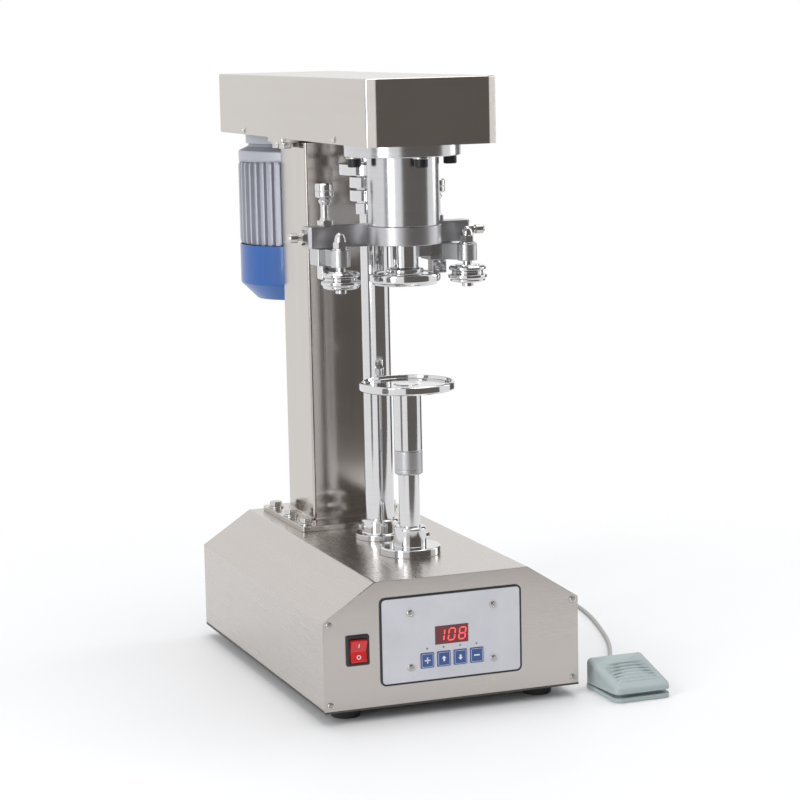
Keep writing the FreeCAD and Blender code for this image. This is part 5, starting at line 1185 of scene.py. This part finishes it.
def tread_ribs():
    """Seven low ribs across the treading slope; each is a half-round bar, z = h sin(pi v)."""
    shell = Shell(np.zeros((0, 3)), [])
    v = np.linspace(0, 1, 7)
    u = np.linspace(-1, 1, 15)
    for k in range(7):
        y0 = 13 + k * 5.4
        reach = 23.0
        s = np.clip(y0 / 50, 0, 1)
        z0 = 15 + 18 * (s * 0.75 + 0.25 * s * s * (3 - 2 * s))
        x = u[:, None] * reach + 0 * v
        y = y0 + (v[None, :] - 0.5) * 2.2 + 0 * u[:, None]
        z = z0 - 0.35 + 0.36 * (y - y0) + 1.0 * np.sin(math.pi * v)[None, :] * np.sqrt(1 - np.abs(u) ** 8)[:, None]
        top = np.stack([x, y, z], axis=-1).reshape(-1, 3)
        shell = shell + Shell(top * MM, grid_faces(len(u), len(v)))
    return shell.at(pedal_x * MM, pedal_front * MM, 0)


lid = piece("pedal_cover", pedal_shell() + tread_ribs(), pedal_enamel, "pedal", ["pedal_lid"], 40)
sole = extruded(box_loop(0, 40, 65.5, 80, 9, 8), 0, 5, "UP", end=0.7)
tub = extruded(box_loop(0, 40, 52.3, 62, 4.5, 8), 5, 10, "UP", end=0.3)
axle_block = extruded(box_loop(0, 68, 50.5, 8, 0.8), 5, 23, "UP", end=0.5)
gland_tube = turned([(2.3, 0), (4.6, 0), (4.4, 1.6), (4.0, 1.9), (3.9, 3.4), (3.5, 3.7), (3.2, 6), (2.3, 6)], 0.2, 32)
gland_tube = gland_tube.placed(facing("REAR", 0, 80 * MM, 4.9 * MM))
pedal_sole = (sole + tub + axle_block + gland_tube).at(pedal_x * MM, pedal_front * MM, 0)
sole_piece = piece("pedal_sole", pedal_sole, pedal_enamel, "frame", ["pedal_base"], 40)
axle = turned([(0, 0), (2.5, 0), (2.5, 62.5), (0, 62.5)], 0.4, 32, closed=False)
axle = axle.placed(facing("RIGHT", (pedal_x - 31.25) * MM, -252 * MM, 19 * MM))
axle_piece = piece("pedal_axle", axle, screw_zinc, "frame", ["pedal_pin"])

# ---------------------------------------------------------------- finishes of the carried-over nodes

CARRIED = {
    "bottom_plate": dark_plate, "base_frame": dark_plate, "control_board": board_lacquer,
    "power_inlet": black_plastic, "mounting_plate": dark_plate, "spindle_bearings": spindle_chrome,
    "drive_belt": belt_rubber, "spindle_pulley": beam_aluminium, "motor_pulley": beam_aluminium,
    "motor_rotor": dark_plate, "lift_motor": motor_enamel, "lift_cam": screw_zinc, "cam_follower": screw_zinc,
    "lift_rod": spindle_chrome, "table_bearing": spindle_chrome,
}
for name, material in CARRIED.items():
    nodes[name].data.materials.clear()
    nodes[name].data.materials.append(material)

# ---------------------------------------------------------------- stage: floor, cards, lamps and world


def stage_plane(name, corners, material):
    mesh = bpy.data.meshes.new(name)
    mesh.from_pydata(corners, [], [(0, 1, 2, 3)])
    mesh.materials.append(material)
    thing = bpy.data.objects.new(name, mesh)
    bpy.context.scene.collection.objects.link(thing)
    return thing


def floor_paper():
    """Pale paper that keeps the soft shadow near the machine and turns plain white further out."""
    finish = Finish("floor_paper")
    where = finish.place()
    flat = finish.scaled(where, (1, 1, 0), (0.05, -0.05, 0))
    distance = finish.add("ShaderNodeVectorMath", {"operation": "LENGTH"}, {0: flat}, out="Value")
    far = finish.add("ShaderNodeMapRange", {"interpolation_type": "SMOOTHSTEP"},
                     {"Value": distance, "From Min": 0.45, "From Max": 0.95})
    finish.shade(Base_Color=(0.86, 0.86, 0.86), Roughness=0.6)
    white = finish.tree.nodes.new("ShaderNodeEmission")
    white.inputs["Color"].default_value = (1, 1, 1, 1)
    mixed = finish.tree.nodes.new("ShaderNodeMixShader")
    finish.tree.links.new(far.socket, mixed.inputs[0])
    finish.tree.links.new(finish.shader.outputs[0], mixed.inputs[1])
    finish.tree.links.new(white.outputs[0], mixed.inputs[2])
    finish.tree.links.new(mixed.outputs[0], finish.tree.nodes["Material Output"].inputs["Surface"])
    return finish.material


def card(name, corners, colour):
    """A studio card that only reflections see."""
    finish = Finish(name)
    glow = finish.tree.nodes.new("ShaderNodeEmission")
    glow.inputs["Color"].default_value = (*colour, 1)
    finish.tree.links.new(glow.outputs[0], finish.tree.nodes["Material Output"].inputs["Surface"])
    thing = stage_plane(name, corners, finish.material)
    thing.visible_camera = False
    thing.visible_diffuse = False
    thing.visible_transmission = False
    thing.visible_shadow = False
    return thing


stage_plane("floor", [(-9, -9, 0), (9, -9, 0), (9, 12, 0), (-9, 12, 0)], floor_paper())
card("front_card", [(-0.42, -1.1, 0.0), (1.5, -0.95, 0.0), (1.5, -0.95, 2.2), (-0.42, -1.1, 2.2)],
     (0.15, 0.138, 0.128))
card("right_card", [(1.25, 0.1, 0.0), (1.1, 0.75, 0.0), (1.1, 0.75, 2.0), (1.25, 0.1, 2.0)],
     (0.12, 0.12, 0.125))
card("left_card", [(-1.3, -0.35, 0.0), (-1.3, -0.75, 0.0), (-1.3, -0.75, 1.6), (-1.3, -0.35, 1.6)],
     (0.2, 0.2, 0.205))

world = bpy.data.worlds.new("studio")
bpy.context.scene.world = world
world.use_nodes = True
tree = world.node_tree
tree.nodes.clear()
path = tree.nodes.new("ShaderNodeLightPath")
seen = tree.nodes.new("ShaderNodeMath")
seen.operation = "MAXIMUM"
through = tree.nodes.new("ShaderNodeMath")
through.operation = "MAXIMUM"
tree.links.new(path.outputs["Is Camera Ray"], seen.inputs[0])
tree.links.new(path.outputs["Is Glossy Ray"], seen.inputs[1])
tree.links.new(seen.outputs[0], through.inputs[0])
tree.links.new(path.outputs["Is Transmission Ray"], through.inputs[1])
white_sky = tree.nodes.new("ShaderNodeBackground")
white_sky.inputs["Color"].default_value = (1, 1, 1, 1)
soft_sky = tree.nodes.new("ShaderNodeBackground")
soft_sky.inputs["Color"].default_value = (0.62, 0.63, 0.65, 1)
either = tree.nodes.new("ShaderNodeMixShader")
tree.links.new(through.outputs[0], either.inputs[0])
tree.links.new(soft_sky.outputs[0], either.inputs[1])
tree.links.new(white_sky.outputs[0], either.inputs[2])
out = tree.nodes.new("ShaderNodeOutputWorld")
tree.links.new(either.outputs[0], out.inputs["Surface"])


def softbox(name, place, target, width, height, watts):
    data = bpy.data.lights.new(name, "AREA")
    data.shape = "RECTANGLE"
    data.size, data.size_y = width, height
    data.energy = watts
    lamp = bpy.data.objects.new(name, data)
    bpy.context.scene.collection.objects.link(lamp)
    lamp.location = place
    lamp.rotation_mode = "QUATERNION"
    lamp.rotation_quaternion = (Vector(target) - Vector(place)).to_track_quat("-Z", "Y")


softbox("key_box", (-2.3, -1.35, 1.1), (0, 0, 0.35), 0.9, 2.0, 38)
softbox("top_box", (0.3, 0.2, 2.6), (0, 0, 0.3), 2.0, 2.0, 30)
softbox("right_box", (2.6, 0.4, 1.2), (0, 0, 0.35), 1.2, 1.8, 16)

bpy.context.scene.view_settings.view_transform = "Standard"
